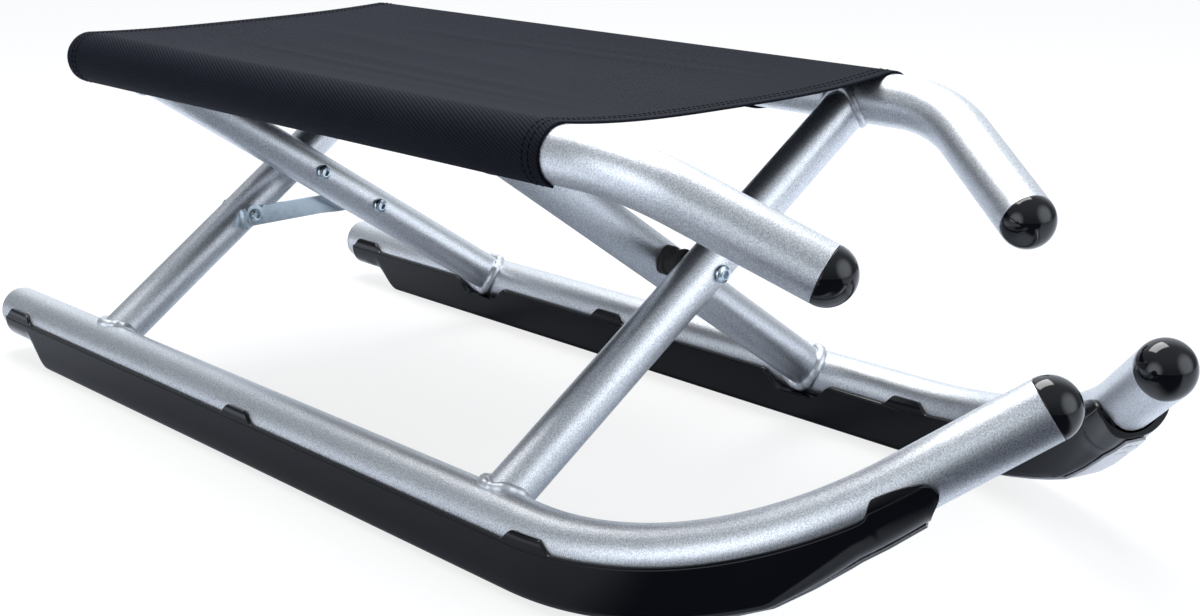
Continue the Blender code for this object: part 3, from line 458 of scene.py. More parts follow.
@dataclass(frozen=True)
class WovenCloth(Finish):
    """Coated polyester in a fine twill, read from the sheet's own map in metres."""

    name: str = "woven_polyester"
    # colour is the painted shade in the twill's grooves, and lit is the painted light on its crowns.
    colour: Colour = (0.0024, 0.0028, 0.0046)
    lit: Colour = (0.0146, 0.0162, 0.0260)
    rib: float = 0.0023
    slant: float = 0.46
    yarn: float = 0.00115
    depth: float = 0.00023
    roughness: float = 0.78
    slub: float = 900.0
    slub_stretch: Triple = (1.0, 0.06, 1.0)
    slub_shift: float = 0.0003
    cloud: float = 14.0
    twill_share: float = 0.76

    def sockets(self, board: Board) -> dict[str, Any]:
        """Slanting twill ribs, broken by the yarns that cross them; their crowns carry painted light.

        Args:
            board: The material's tree.

        Returns:
            Values and wires by the input's name.
        """
        cloth = board.wire("ShaderNodeUVMap", {"uv_map": SeatCloth.uv_name})
        split = board.node("ShaderNodeSeparateXYZ", None, {"Vector": cloth})
        along = Wire(board, split.outputs["X"])
        across = Wire(board, split.outputs["Y"])
        slub = board.noise(board.stretched(cloth, self.slub_stretch), self.slub, 2.0)
        slanted = across - along * self.slant + slub * self.slub_shift
        twill = board.math("SINE", slanted * (math.tau / self.rib))
        warp = board.math("SINE", along * (math.tau / self.yarn))
        crown = board.smooth(twill * 0.5 + 0.5, 0.05, 0.95)
        height = crown * self.twill_share + (warp * 0.5 + 0.5) * (1.0 - self.twill_share)
        cloud = board.noise(cloth, self.cloud, 4.0)
        # Painted light and shade: the twill's crowns take the lit colour and its grooves the dark one; slub
        # and cloud add the yarn's own uneven tone.
        tone = height * 0.66 + slub * 0.14 + cloud * 0.20
        return {
            "Base Color": board.mix(tone, self.colour, self.lit),
            "Roughness": self.roughness - height * 0.14,
            "Specular IOR Level": 0.05,
            "Sheen Weight": 0.01,
            "Sheen Roughness": 0.45,
            "Sheen Tint": (0.60, 0.66, 0.85, 1.0),
            "Normal": board.bump(height, self.depth, 0.8),
        }


@dataclass(frozen=True)
class Thread(Finish):
    """Twisted sewing thread."""

    name: str = "black_thread"
    dark: Colour = (0.0010, 0.0010, 0.0020)
    light: Colour = (0.0035, 0.0035, 0.0070)
    roughness: float = 0.75
    twist: float = 3200.0
    twist_stretch: Triple = (1.0, 1.0, 0.4)
    twist_depth: float = 0.00005

    def sockets(self, board: Board) -> dict[str, Any]:
        """Fine flattened grain, as of twisted fibres.

        Args:
            board: The material's tree.

        Returns:
            Values and wires by the input's name.
        """
        twist = board.noise(board.stretched(board.place(), self.twist_stretch), self.twist, 1.0)
        return {
            "Base Color": board.mix(twist, self.dark, self.light),
            "Roughness": self.roughness + twist * 0.2,
            "Specular IOR Level": 0.05,
            "Normal": board.bump(twist, self.twist_depth, 0.6),
        }


GREY_PLASTIC = MattePlastic(
    "grey_plastic", colour=(0.16, 0.165, 0.175), worn=(0.24, 0.245, 0.255), roughness=0.42
)
BLACK_RUBBER = MattePlastic(
    "black_rubber", colour=(0.0020, 0.0020, 0.0030), worn=(0.0065, 0.0065, 0.0090), roughness=0.44,
    grain=700.0, shine=0.12,
)


class Outline(Enum):
    """Shape of a turned or pressed piece seen along its axis."""

    ROUND = "round"
    HEXAGON = "hexagon"

    def radius(self, size: float, angle: float) -> float:
        """Distance of the outline from the axis.

        Args:
            size: Radius of the circle, or of the circle inside the hexagon.
            angle: Angle about the axis; a corner stands at 0.

        Returns:
            The distance.
        """
        if self is Outline.ROUND:
            return size
        sixth = math.pi / 3
        return size / math.cos(angle % sixth - sixth / 2)


class Side(Enum):
    """The two crossed frames; the value is the side that the frame's seat tube is on."""

    OUTER = 1.0
    INNER = -1.0

    @property
    def word(self) -> str:
        """The frame's word in the node names."""
        return self.name.lower()

    @property
    def body(self) -> str:
        """The CAD body that the frame is."""
        return f"{self.word}_frame"

    @property
    def hand(self) -> str:
        """The side that the frame's runner is on, to the rider."""
        return "right" if self is Side.OUTER else "left"

    def across(self, angle: float) -> Vector:
        """Unit vector across the sled that climbs at angle, from the runner towards the seat tube."""
        return Vector((0.0, self.value * math.cos(angle), math.sin(angle)))


def in_scene(name: str, data: bpy.types.ID) -> bpy.types.Object:
    """Makes an object at the origin and links it to the scene.

    Args:
        name: Name of the object.
        data: Its mesh, light or camera.

    Returns:
        The object.
    """
    made = bpy.data.objects.new(name, data)
    bpy.context.scene.collection.objects.link(made)
    return made


def finished_mesh(piece: bpy.types.Object) -> bpy.types.Mesh:
    """Gives the plain mesh that a piece's modifiers make."""
    graph = bpy.context.evaluated_depsgraph_get()
    return bpy.data.meshes.new_from_object(piece.evaluated_get(graph), depsgraph=graph)


def shaded_piece(mesh: bpy.types.Mesh, sharp: float) -> bpy.types.Object:
    """Makes a smooth piece whose normals weigh the faces' sizes, so that flats stay flat beside round edges.

    Args:
        mesh: The piece's mesh, whose name it takes.
        sharp: Edges that turn by more than this many degrees stay sharp.

    Returns:
        The object, at the origin.
    """
    mesh.shade_smooth()
    mesh.set_sharp_from_angle(angle=math.radians(sharp))
    piece = in_scene(mesh.name, mesh)
    weigh = piece.modifiers.new("weigh", "WEIGHTED_NORMAL")
    weigh.keep_sharp = True
    weigh.weight = 90
    weighed = finished_mesh(piece)
    piece.modifiers.clear()
    piece.data = weighed
    return piece


def mesh_piece(name: str, points: Iterable[Vector], faces: Iterable[Sequence[int]], sharp: float = 35.0
               ) -> bpy.types.Object:
    """Makes a smooth-shaded piece that is merged, with its faces pointing out.

    Args:
        name: Name of the piece.
        points: Its points, in the CAD's frame.
        faces: Its faces, as numbers of points.
        sharp: Edges that turn by more than this many degrees stay sharp.

    Returns:
        The object, at the origin.
    """
    mesh = bpy.data.meshes.new(name)
    mesh.from_pydata([tuple(point) for point in points], [], list(faces))
    work = bmesh.new()
    work.from_mesh(mesh)
    bmesh.ops.remove_doubles(work, verts=work.verts, dist=MERGE)
    bmesh.ops.recalc_face_normals(work, faces=work.faces)
    work.to_mesh(mesh)
    work.free()
    return shaded_piece(mesh, sharp)


def loft(name: str, rings: Sequence[Sequence[Vector]], endless: bool = False, sharp: float = 35.0
         ) -> bpy.types.Object:
    """Makes a closed piece through rings with the same number of points.

    Args:
        name: Name of the piece.
        rings: The rings, in order.
        endless: The last ring joins the first; otherwise both ends are capped.
        sharp: Edges that turn by more than this many degrees stay sharp.

    Returns:
        The object.
    """
    count = len(rings[0])
    points = [point for ring in rings for point in ring]
    faces: list[tuple[int, ...]] = []
    for i in range(len(rings) if endless else len(rings) - 1):
        first = i * count
        second = (i + 1) % len(rings) * count
        for j in range(count):
            k = (j + 1) % count
            faces.append((first + j, first + k, second + k, second + j))
    if not endless:
        faces.append(tuple(reversed(range(count))))
        faces.append(tuple(range(len(points) - count, len(points))))
    return mesh_piece(name, points, faces, sharp)


@dataclass(frozen=True)
class TurnedPiece:
    """A piece turned or pressed about one axis."""

    place: Vector
    direction: Vector
    steps: int = 48

    def ring(self, outline: Outline, size: float, height: float, limit: float = math.inf) -> list[Vector]:
        """Ring of points at a height along the axis.

        Args:
            outline: Shape of the ring.
            size: Radius of the outline.
            height: Height along the axis.
            limit: The ring reaches no further than this, as a chamfer cuts it.

        Returns:
            The ring.
        """
        turn = self.direction.to_track_quat("Z", "Y")
        angles = [math.tau * i / self.steps for i in range(self.steps)]
        radii = [min(outline.radius(size, a), limit) for a in angles]
        return [
            self.place + turn @ Vector((r * math.cos(a), r * math.sin(a), height))
            for r, a in zip(radii, angles)
        ]

    def rounds(self, profile: Iterable[Span]) -> list[list[Vector]]:
        """Round rings through a profile of (radius, height)."""
        return [self.ring(Outline.ROUND, radius, height) for radius, height in profile]


def settle(piece: bpy.types.Object, finish: Finish, body: str, slot: str, *nodes: str) -> None:
    """Dresses a finished piece and hangs it on its body, in place of CAD nodes.

    Args:
        piece: The piece, in place.
        finish: Its finish.
        body: The CAD body that carries it.
        slot: The record's material slot; not used.
        nodes: The CAD nodes that it stands for.
    """
    piece.data.materials.clear()
    piece.data.materials.append(finish.material())
    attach(piece, body)
    if nodes:
        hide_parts(*nodes)
    LOG.info("%s: %d faces on %s", piece.name, len(piece.data.polygons), body)


def eased_copy(node: str, width: float, flat: float = 1.0, turn: float = 32.0, sharp: float = 40.0
               ) -> bpy.types.Object:
    """Copies a CAD node with its doubles merged, its flats joined and its edges rounded.

    Args:
        node: The CAD node.
        width: Width of the rounding.
        flat: Faces that meet at less than this many degrees become one.
        turn: Edges that turn by more than this many degrees are rounded.
        sharp: Edges that still turn by more than this many degrees stay sharp.

    Returns:
        The new piece.
    """
    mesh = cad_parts[node].data.copy()
    mesh.name = f"fine_{node}"
    work = bmesh.new()
    work.from_mesh(mesh)
    bmesh.ops.remove_doubles(work, verts=work.verts, dist=CAD_MERGE)
    bmesh.ops.dissolve_limit(work, angle_limit=math.radians(flat), verts=work.verts, edges=work.edges)
    least = math.radians(turn)
    corners = [edge for edge in work.edges if edge.is_manifold and edge.calc_face_angle() > least]
    bmesh.ops.bevel(
        work, geom=corners, offset=width, segments=2, profile=0.5, affect="EDGES", clamp_overlap=True
    )
    work.to_mesh(mesh)
    work.free()
    return shaded_piece(mesh, sharp)


class GeometryTree:
    """A Geometry Nodes tree with named inputs, run once to give a plain mesh."""

    kinds = {float: "NodeSocketFloat", int: "NodeSocketInt", bpy.types.Material: "NodeSocketMaterial"}

    def __init__(self, name: str, inputs: dict[str, type]) -> None:
        """Makes the tree and its inputs.

        Args:
            name: Name of the tree.
            inputs: Kind of each input, by its name.
        """
        self.tree = bpy.data.node_groups.new(name, "GeometryNodeTree")
        self.tree.interface.new_socket("Geometry", in_out="OUTPUT", socket_type="NodeSocketGeometry")
        self.tree.interface.new_socket("Path", in_out="INPUT", socket_type="NodeSocketGeometry")
        self.identifiers = {
            key: self.tree.interface.new_socket(key, in_out="INPUT", socket_type=self.kinds[kind]).identifier
            for key, kind in inputs.items()
        }
        self.board = Board(self.tree)
        self.group = self.board.node("NodeGroupInput")

    def given(self, name: str) -> Wire:
        """The wire of one input."""
        return Wire(self.board, self.group.outputs[name])

    def close(self, geometry: Wire) -> None:
        """Ends the tree: instances become real, faces smooth and dressed.

        Args:
            geometry: What the tree has made.
        """
        real = self.board.wire("GeometryNodeRealizeInstances", None, {"Geometry": geometry})
        smooth = self.board.wire("GeometryNodeSetShadeSmooth", None, {"Geometry": real})
        sockets = {"Geometry": smooth, "Material": self.given("Material")}
        dressed = self.board.wire("GeometryNodeSetMaterial", None, sockets)
        self.board.node("NodeGroupOutput", None, {"Geometry": dressed})

    def grow(self, name: str, paths: Sequence[Sequence[Vector]], closed: bool, values: dict[str, Any]
             ) -> bpy.types.Object:
        """Runs the tree on paths.

        Args:
            name: Name of the new piece.
            paths: Lines of points.
            closed: Each line joins its own start.
            values: Values of the tree's inputs.

        Returns:
            A plain mesh object.
        """
        points: list[Vector] = []
        edges: list[tuple[int, int]] = []
        for path in paths:
            first = len(points)
            points.extend(path)
            edges.extend((first + i, first + i + 1) for i in range(len(path) - 1))
            if closed:
                edges.append((len(points) - 1, first))
        mesh = bpy.data.meshes.new(f"{name}_path")
        mesh.from_pydata([tuple(point) for point in points], edges, [])
        carrier = in_scene(f"{name}_path", mesh)
        modifier = carrier.modifiers.new("grow", "NODES")
        modifier.node_group = self.tree
        for key, value in values.items():
            modifier[self.identifiers[key]] = value
        grown = finished_mesh(carrier)
        bpy.data.objects.remove(carrier)
        grown.name = name
        return in_scene(name, grown)


def weld_tree(steps: float = 10.0, sides: int = 12, skew: float = 0.4, lumps: float = 120.0) -> GeometryTree:
    """Makes the tree of a weld bead: a round ridge along a closed path that swells with each puddle.

    Args:
        steps: Rings of points in a puddle.
        sides: Points in a ring.
        skew: Share by which a puddle's crest is shifted along the path.
        lumps: Features of the unevenness in a metre.

    Returns:
        The tree.
    """
    tree = GeometryTree("weld_bead", {
        "Bead Radius": float, "Puddles": int, "Swell": float, "Unevenness": float,
        "Material": bpy.types.Material,
    })
    board = tree.board
    puddles = tree.given("Puddles")
    curve = board.wire("GeometryNodeMeshToCurve", None, {"Mesh": tree.given("Path")})
    even = board.wire(
        "GeometryNodeResampleCurve", {"mode": "COUNT"}, {"Curve": curve, "Count": puddles * steps}
    )
    around = board.wire("GeometryNodeSplineParameter", None, None, "Factor")
    phase = around * puddles * math.tau
    puddle = board.math("SINE", phase + board.math("SINE", phase) * skew)
    place = board.wire("GeometryNodeInputPosition")
    uneven = (board.noise(place, lumps, 1.0) - 0.5) * tree.given("Unevenness")
    swell = puddle * tree.given("Swell") + 1.0 + uneven
    profile = board.wire(
        "GeometryNodeCurvePrimitiveCircle", {"mode": "RADIUS"},
        {"Resolution": sides, "Radius": tree.given("Bead Radius")},
    )
    sockets = {"Curve": even, "Profile Curve": profile, "Scale": swell}
    tree.close(board.wire("GeometryNodeCurveToMesh", None, sockets))
    return tree


def stitch_tree(sides: int = 6, rings: int = 5) -> GeometryTree:
    """Makes the tree of a stitch row: short rounded threads laid end to end along a path.

    Args:
        sides: Points round a thread.
        rings: Steps along a thread.

    Returns:
        The tree.
    """
    tree = GeometryTree("stitch_row", {
        "Pitch": float, "Length": float, "Thread Radius": float, "Material": bpy.types.Material,
    })
    board = tree.board
    curve = board.wire("GeometryNodeMeshToCurve", None, {"Mesh": tree.given("Path")})
    even = board.wire(
        "GeometryNodeResampleCurve", {"mode": "LENGTH"}, {"Curve": curve, "Length": tree.given("Pitch")}
    )
    tangent = board.wire("GeometryNodeInputTangent")
    turn = board.wire("FunctionNodeAlignRotationToVector", {"axis": "Z"}, {"Vector": tangent})
    radius = tree.given("Thread Radius")
    half = tree.given("Length") * 0.5
    size = board.wire("ShaderNodeCombineXYZ", None, {"X": radius, "Y": radius, "Z": half})
    thread = board.wire("GeometryNodeMeshUVSphere", None, {"Segments": sides, "Rings": rings, "Radius": 1.0})
    sockets = {"Points": even, "Instance": thread, "Rotation": turn, "Scale": size}
    tree.close(board.wire("GeometryNodeInstanceOnPoints", None, sockets))
    return tree


@dataclass(frozen=True)
class SledPlan:
    """Driving sizes that the CAD and the looks share, in metres and radians; x0 is the runners' rear end."""

    x0: float
    tube_r: float = 0.0175
    tube_wall: float = 0.002
    leg_r: float = 0.015
    leg_wall: float = 0.002
    gap: float = 0.0003
    leg_angle: float = math.radians(34.7)
    leg_below_pivot: float = 0.210
    leg_above_pivot: float = 0.168
    sole_depth: float = 0.0317
    strip_t: float = 0.0018

    @property
    def pivot_z(self) -> float:
        """Height of the pivot line."""
        return self.sole_depth + self.gap + self.strip_t + self.leg_below_pivot * math.sin(self.leg_angle)

    @property
    def seat_y(self) -> float:
        """Distance of a seat tube's axis from the middle."""
        return self.leg_above_pivot * math.cos(self.leg_angle)

    @property
    def seat_z(self) -> float:
        """Height of the seat tubes' axes."""
        return self.pivot_z + self.leg_above_pivot * math.sin(self.leg_angle)

    def pivot(self, station: float) -> Vector:
        """Point of the pivot line at a station."""
        return Vector((self.x0 + station, 0.0, self.pivot_z))


PLAN = SledPlan(x0=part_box("outer_runner_tube")[0].x)


@dataclass(frozen=True)
class TubeLine:
    """A tube's centre line: a straight stretch along X, one bend and a straight tip."""

    start: Vector
    straight: float
    radius: float
    angle: float
    tip: float
    towards: Vector
    straight_steps: int = 12

    @property
    def length(self) -> float:
        """Length along the centre line."""
        return self.straight + self.radius * self.angle + self.tip

    def turn(self, s: float) -> Matrix:
        """Rotation of the cross-section at a distance along the tube."""
        angle = min(max((s - self.straight) / self.radius, 0.0), self.angle)
        return Matrix.Rotation(angle, 3, ALONG.cross(self.towards))

    def forward(self, s: float) -> Vector:
        """Direction of the tube at a distance along it."""
        return self.turn(s) @ ALONG

    def point(self, s: float) -> Vector:
        """Point of the centre line.

        Args:
            s: Distance along the line.

        Returns:
            The point.
        """
        if s <= self.straight:
            return self.start + ALONG * s
        angle = min((s - self.straight) / self.radius, self.angle)
        point = self.start + ALONG * (self.straight + self.radius * math.sin(angle))
        point += self.towards * (self.radius * (1.0 - math.cos(angle)))
        past = s - self.straight - self.radius * self.angle
        return point + self.forward(s) * max(past, 0.0)

    def stations(self, step: float) -> list[float]:
        """Distances along the line that are wide apart on the straights.

        Args:
            step: How far apart they are in the bend, at the most.

        Returns:
            The distances.
        """
        bend = self.radius * self.angle
        count = math.ceil(bend / step)
        inside = [self.straight + bend * i / count for i in range(count + 1)]
        straight = [self.straight * i / self.straight_steps for i in range(1, self.straight_steps)]
        return [*straight, *inside, self.straight + bend + self.tip / 2]


@dataclass(frozen=True)
class Leg:
    """A leg's centre line, from its runner's axis up to its seat tube's axis."""

    side: Side
    foot_station: float
    head_station: float

    @property
    def foot(self) -> Vector:
        """Lower end, on the runner's axis."""
        return PLAN.pivot(self.foot_station) - self.side.across(PLAN.leg_angle) * PLAN.leg_below_pivot

    @property
    def head(self) -> Vector:
        """Upper end, on the seat tube's axis."""
        return PLAN.pivot(self.head_station) + self.side.across(PLAN.leg_angle) * PLAN.leg_above_pivot

    @property
    def direction(self) -> Vector:
        """Unit vector from foot to head."""
        return (self.head - self.foot).normalized()

    def rim(self, angle: float, radius: float) -> Vector:
        """Offset of the leg's skin from its axis.

        Args:
            angle: Angle about the axis.
            radius: Radius of the skin.

        Returns:
            The offset.
        """
        first = self.direction.cross(ALONG).normalized()
        second = self.direction.cross(first)
        return (first * math.cos(angle) + second * math.sin(angle)) * radius

    def reach(self, rim: Vector, tube_r: float, towards: float) -> float:
        """Distance along the leg from a tube's axis to where a line of the leg leaves the tube's skin.

        Args:
            rim: Offset of the line from the leg's axis.
            tube_r: Radius of the tube.
            towards: 1 at the foot, -1 at the head.

        Returns:
            The distance.
        """
        across = Vector((0.0, self.direction.y, self.direction.z)) * towards
        flat = Vector((0.0, rim.y, rim.z))
        a = across.length_squared
        b = 2.0 * flat.dot(across)
        c = flat.length_squared - tube_r ** 2
        return (-b + math.sqrt(b * b - 4.0 * a * c)) / (2.0 * a)

    def skin(self, radius: float, sides: int, steps: int) -> list[list[Vector]]:
        """Rings of the leg's skin from the runner's skin up to the seat tube's.

        Args:
            radius: Radius of the skin.
            sides: Points in a ring.
            steps: Steps along the leg.

        Returns:
            The rings.
        """
        rims = [self.rim(math.tau * i / sides, radius) for i in range(sides)]
        clear = PLAN.tube_r + PLAN.gap
        low = [self.foot + rim + self.direction * self.reach(rim, clear, 1.0) for rim in rims]
        high = [self.head + rim - self.direction * self.reach(rim, clear, -1.0) for rim in rims]
        shares = [i / steps for i in range(steps + 1)]
        return [[a.lerp(b, share) for a, b in zip(low, high)] for share in shares]

    def bead_path(self, joint: Vector, towards: float, count: int) -> list[Vector]:
        """Closed line where the leg's skin meets a tube's skin."""
        rims = [self.rim(math.tau * i / count, PLAN.leg_r) for i in range(count)]
        return [joint + r + self.direction * (towards * self.reach(r, PLAN.tube_r, towards)) for r in rims]


@dataclass(frozen=True)
class TubeFrame:
    """One welded frame: a runner tube, a seat tube, two legs, the beads, the ball caps and the plugs.

    A leg is the stations of its foot and its head, and a bend is its radius, its angle and the slope of its
    plane. plug_dish goes from the plug's middle outwards, in shares of its radius and of plug_lip.
    """

    side: Side
    runner_straight: float
    front_leg: Span
    rear_leg: Span
    runner_bend: Triple = (0.268, math.radians(51.4), math.radians(42.0))
    runner_tip: float = 0.0825
    seat_rear: float = 0.0865
    seat_bend_station: float = 0.666
    seat_bend: Triple = (0.110, math.radians(34.3), math.radians(45.4))
    handle_tip: float = 0.087
    cap_spigot: float = 0.012
    plug_lip: float = 0.0015
    spigot_play: float = 0.0003
    plug_inset: float = 0.000375
    plug_dish: tuple[Span, ...] = ((0.0, 0.55), (0.62, 0.55), (0.74, 0.62), (0.80, 1.0))
    plug_round: float = 0.0009
    plug_steps: int = 5
    edge: float = 0.0004
    cap_edge: float = 0.00032
    sides: int = 56
    bend_step: float = 0.005
    bore_step: float = 0.02
    leg_steps: int = 10
    cap_steps: int = 20
    bead_points: int = 96
    bead_r: float = 0.0042
    head_bead_r: float = 0.0031
    puddle: float = 0.0082
    swell: float = 0.03
    unevenness: float = 0.80
    finish: Finish = BlastedAluminium()
    bead_finish: Finish = WeldAluminium()
    cap_finish: Finish = GlossPlastic(
        name="gloss_cap_plastic", roughness=0.06, shine=0.5, flow_depth=0.00004
    )

    @property
    def runner(self) -> TubeLine:
        """Centre line of the runner tube.

        Returns:
            The line, from its rear end.
        """
        radius, angle, plane = self.runner_bend
        start = PLAN.pivot(0.0) - self.side.across(PLAN.leg_angle) * PLAN.leg_below_pivot
        return TubeLine(start, self.runner_straight, radius, angle, self.runner_tip, self.side.across(plane))

    @property
    def seat(self) -> TubeLine:
        """Centre line of the seat tube.

        Returns:
            The line, from its rear end.
        """
        radius, angle, plane = self.seat_bend
        start = PLAN.pivot(self.seat_rear) + self.side.across(PLAN.leg_angle) * PLAN.leg_above_pivot
        straight = self.seat_bend_station - self.seat_rear
        return TubeLine(start, straight, radius, angle, self.handle_tip, -self.side.across(plane))

    @property
    def legs(self) -> dict[str, Leg]:
        """The frame's two legs.

        Returns:
            The legs by their node's name.
        """
        return {
            f"{self.side.word}_front_leg": Leg(self.side, *self.front_leg),
            f"{self.side.word}_rear_leg": Leg(self.side, *self.rear_leg),
        }

    def ring(self, line: TubeLine, s: float, radius: float) -> list[Vector]:
        """Ring round a tube's centre line.

        Args:
            line: The centre line.
            s: Distance along it.
            radius: Radius of the ring.

        Returns:
            The ring.
        """
        turn = line.turn(s)
        centre = line.point(s)
        angles = [math.tau * i / self.sides for i in range(self.sides)]
        return [centre + turn @ Vector((0.0, radius * math.cos(a), radius * math.sin(a))) for a in angles]

    def tube(self, node: str, line: TubeLine) -> None:
        """Bent tube with a wall and deburred ends.

        Args:
            node: The CAD node that it stands for.
            line: Its centre line.
        """
        outer = PLAN.tube_r
        inner = outer - PLAN.tube_wall
        lip = self.edge
        end = line.length
        knee = lip * KNEE
        course = [(0.0, outer - lip), (knee, outer - knee), (lip, outer)]
        course += [(s, outer) for s in line.stations(self.bend_step)]
        course += [(end - lip, outer), (end - knee, outer - knee), (end, outer - lip), (end, inner)]
        course += [(s, inner) for s in reversed(line.stations(self.bore_step))]
        course.append((0.0, inner))
        piece = loft(f"fine_{node}", [self.ring(line, s, r) for s, r in course], endless=True)
        settle(piece, self.finish, self.side.body, "aluminium_tube", node)

    def leg(self, node: str, leg: Leg) -> None:
        """Hollow leg, coped at both ends to the tubes that it joins.

        Args:
            node: The CAD node that it stands for.
            leg: Its centre line.
        """
        outer = leg.skin(PLAN.leg_r, self.sides, self.leg_steps)
        inner = leg.skin(PLAN.leg_r - PLAN.leg_wall, self.sides, self.leg_steps)
        piece = loft(f"fine_{node}", [*outer, *reversed(inner)], endless=True)
        settle(piece, self.finish, self.side.body, "aluminium_tube", node)

    def beads(self, node: str, leg: Leg, tree: GeometryTree) -> None:
        """Weld beads at both ends of a leg.

        Args:
            node: The leg's node, which names the beads.
            leg: The leg's centre line.
            tree: The tree of a weld bead.
        """
        ends = ((leg.foot, 1.0, "foot", self.bead_r), (leg.head, -1.0, "head", self.head_bead_r))
        for joint, towards, word, radius in ends:
            path = leg.bead_path(joint, towards, self.bead_points)
            length = sum((a - b).length for a, b in zip(path, path[1:] + path[:1]))
            values = {
                "Bead Radius": radius,
                "Puddles": round(length / self.puddle),
                "Swell": self.swell,
                "Unevenness": self.unevenness,
                "Material": self.bead_finish.material(),
            }
            piece = tree.grow(f"{node}_{word}_weld", [path], True, values)
            settle(piece, self.bead_finish, self.side.body, "aluminium_tube")

    def ball_cap(self, node: str, line: TubeLine) -> None:
        """Glossy half ball with a spigot in the front end of a tube.

        Args:
            node: The CAD node that it stands for.
            line: The tube's centre line.
        """
        radius = PLAN.tube_r
        spigot = radius - PLAN.tube_wall - self.spigot_play
        lip = self.cap_edge
        knee = lip * KNEE
        profile = arc((0.0, lip), (radius, radius - lip), math.pi / 2, 0.0, self.cap_steps)
        profile[0] = (0.0, radius)
        profile += [(radius, lip), (radius - knee, knee), (radius - lip, 0.0), (spigot, 0.0)]
        profile += [(spigot, -self.cap_spigot), (0.0, -self.cap_spigot)]
        forward = line.forward(line.length)
        place = line.point(line.length) + forward * PLAN.gap
        piece = loft(f"fine_{node}", TurnedPiece(place, forward, self.sides).rounds(profile))
        settle(piece, self.cap_finish, self.side.body, "black_gloss_plastic", node)

    def end_plug(self, node: str, line: TubeLine) -> None:
        """Thin grey plug with a shallow dish, in the rear end of a tube.

        Args:
            node: The CAD node that it stands for.
            line: The tube's centre line.
        """
        rim = PLAN.tube_r - self.plug_inset
        spigot = PLAN.tube_r - PLAN.tube_wall - self.spigot_play
        edge = self.plug_round
        profile = [(rim * radius, self.plug_lip * height) for radius, height in self.plug_dish]
        profile += arc((rim - edge, self.plug_lip - edge), (edge, edge), math.pi / 2, 0.0, self.plug_steps)
        profile += [(rim, 0.0), (spigot, 0.0), (spigot, -self.cap_spigot), (0.0, -self.cap_spigot)]
        place = line.start - ALONG * PLAN.gap
        piece = loft(f"fine_{node}", TurnedPiece(place, -ALONG, self.sides).rounds(profile))
        settle(piece, GREY_PLASTIC, self.side.body, "grey_plastic", node)

    def build(self, tree: GeometryTree) -> None:
        """Makes every piece of the frame.

        Args:
            tree: The tree of a weld bead.
        """
        word = self.side.word
        for part, line, cap in (("runner", self.runner, "runner"), ("seat", self.seat, "handle")):
            self.tube(f"{word}_{part}_tube", line)
            self.ball_cap(f"{word}_{cap}_ball_cap", line)
            self.end_plug(f"{word}_{part}_end_plug", line)
        for node, leg in self.legs.items():
            self.leg(node, leg)
            self.beads(node, leg, tree)


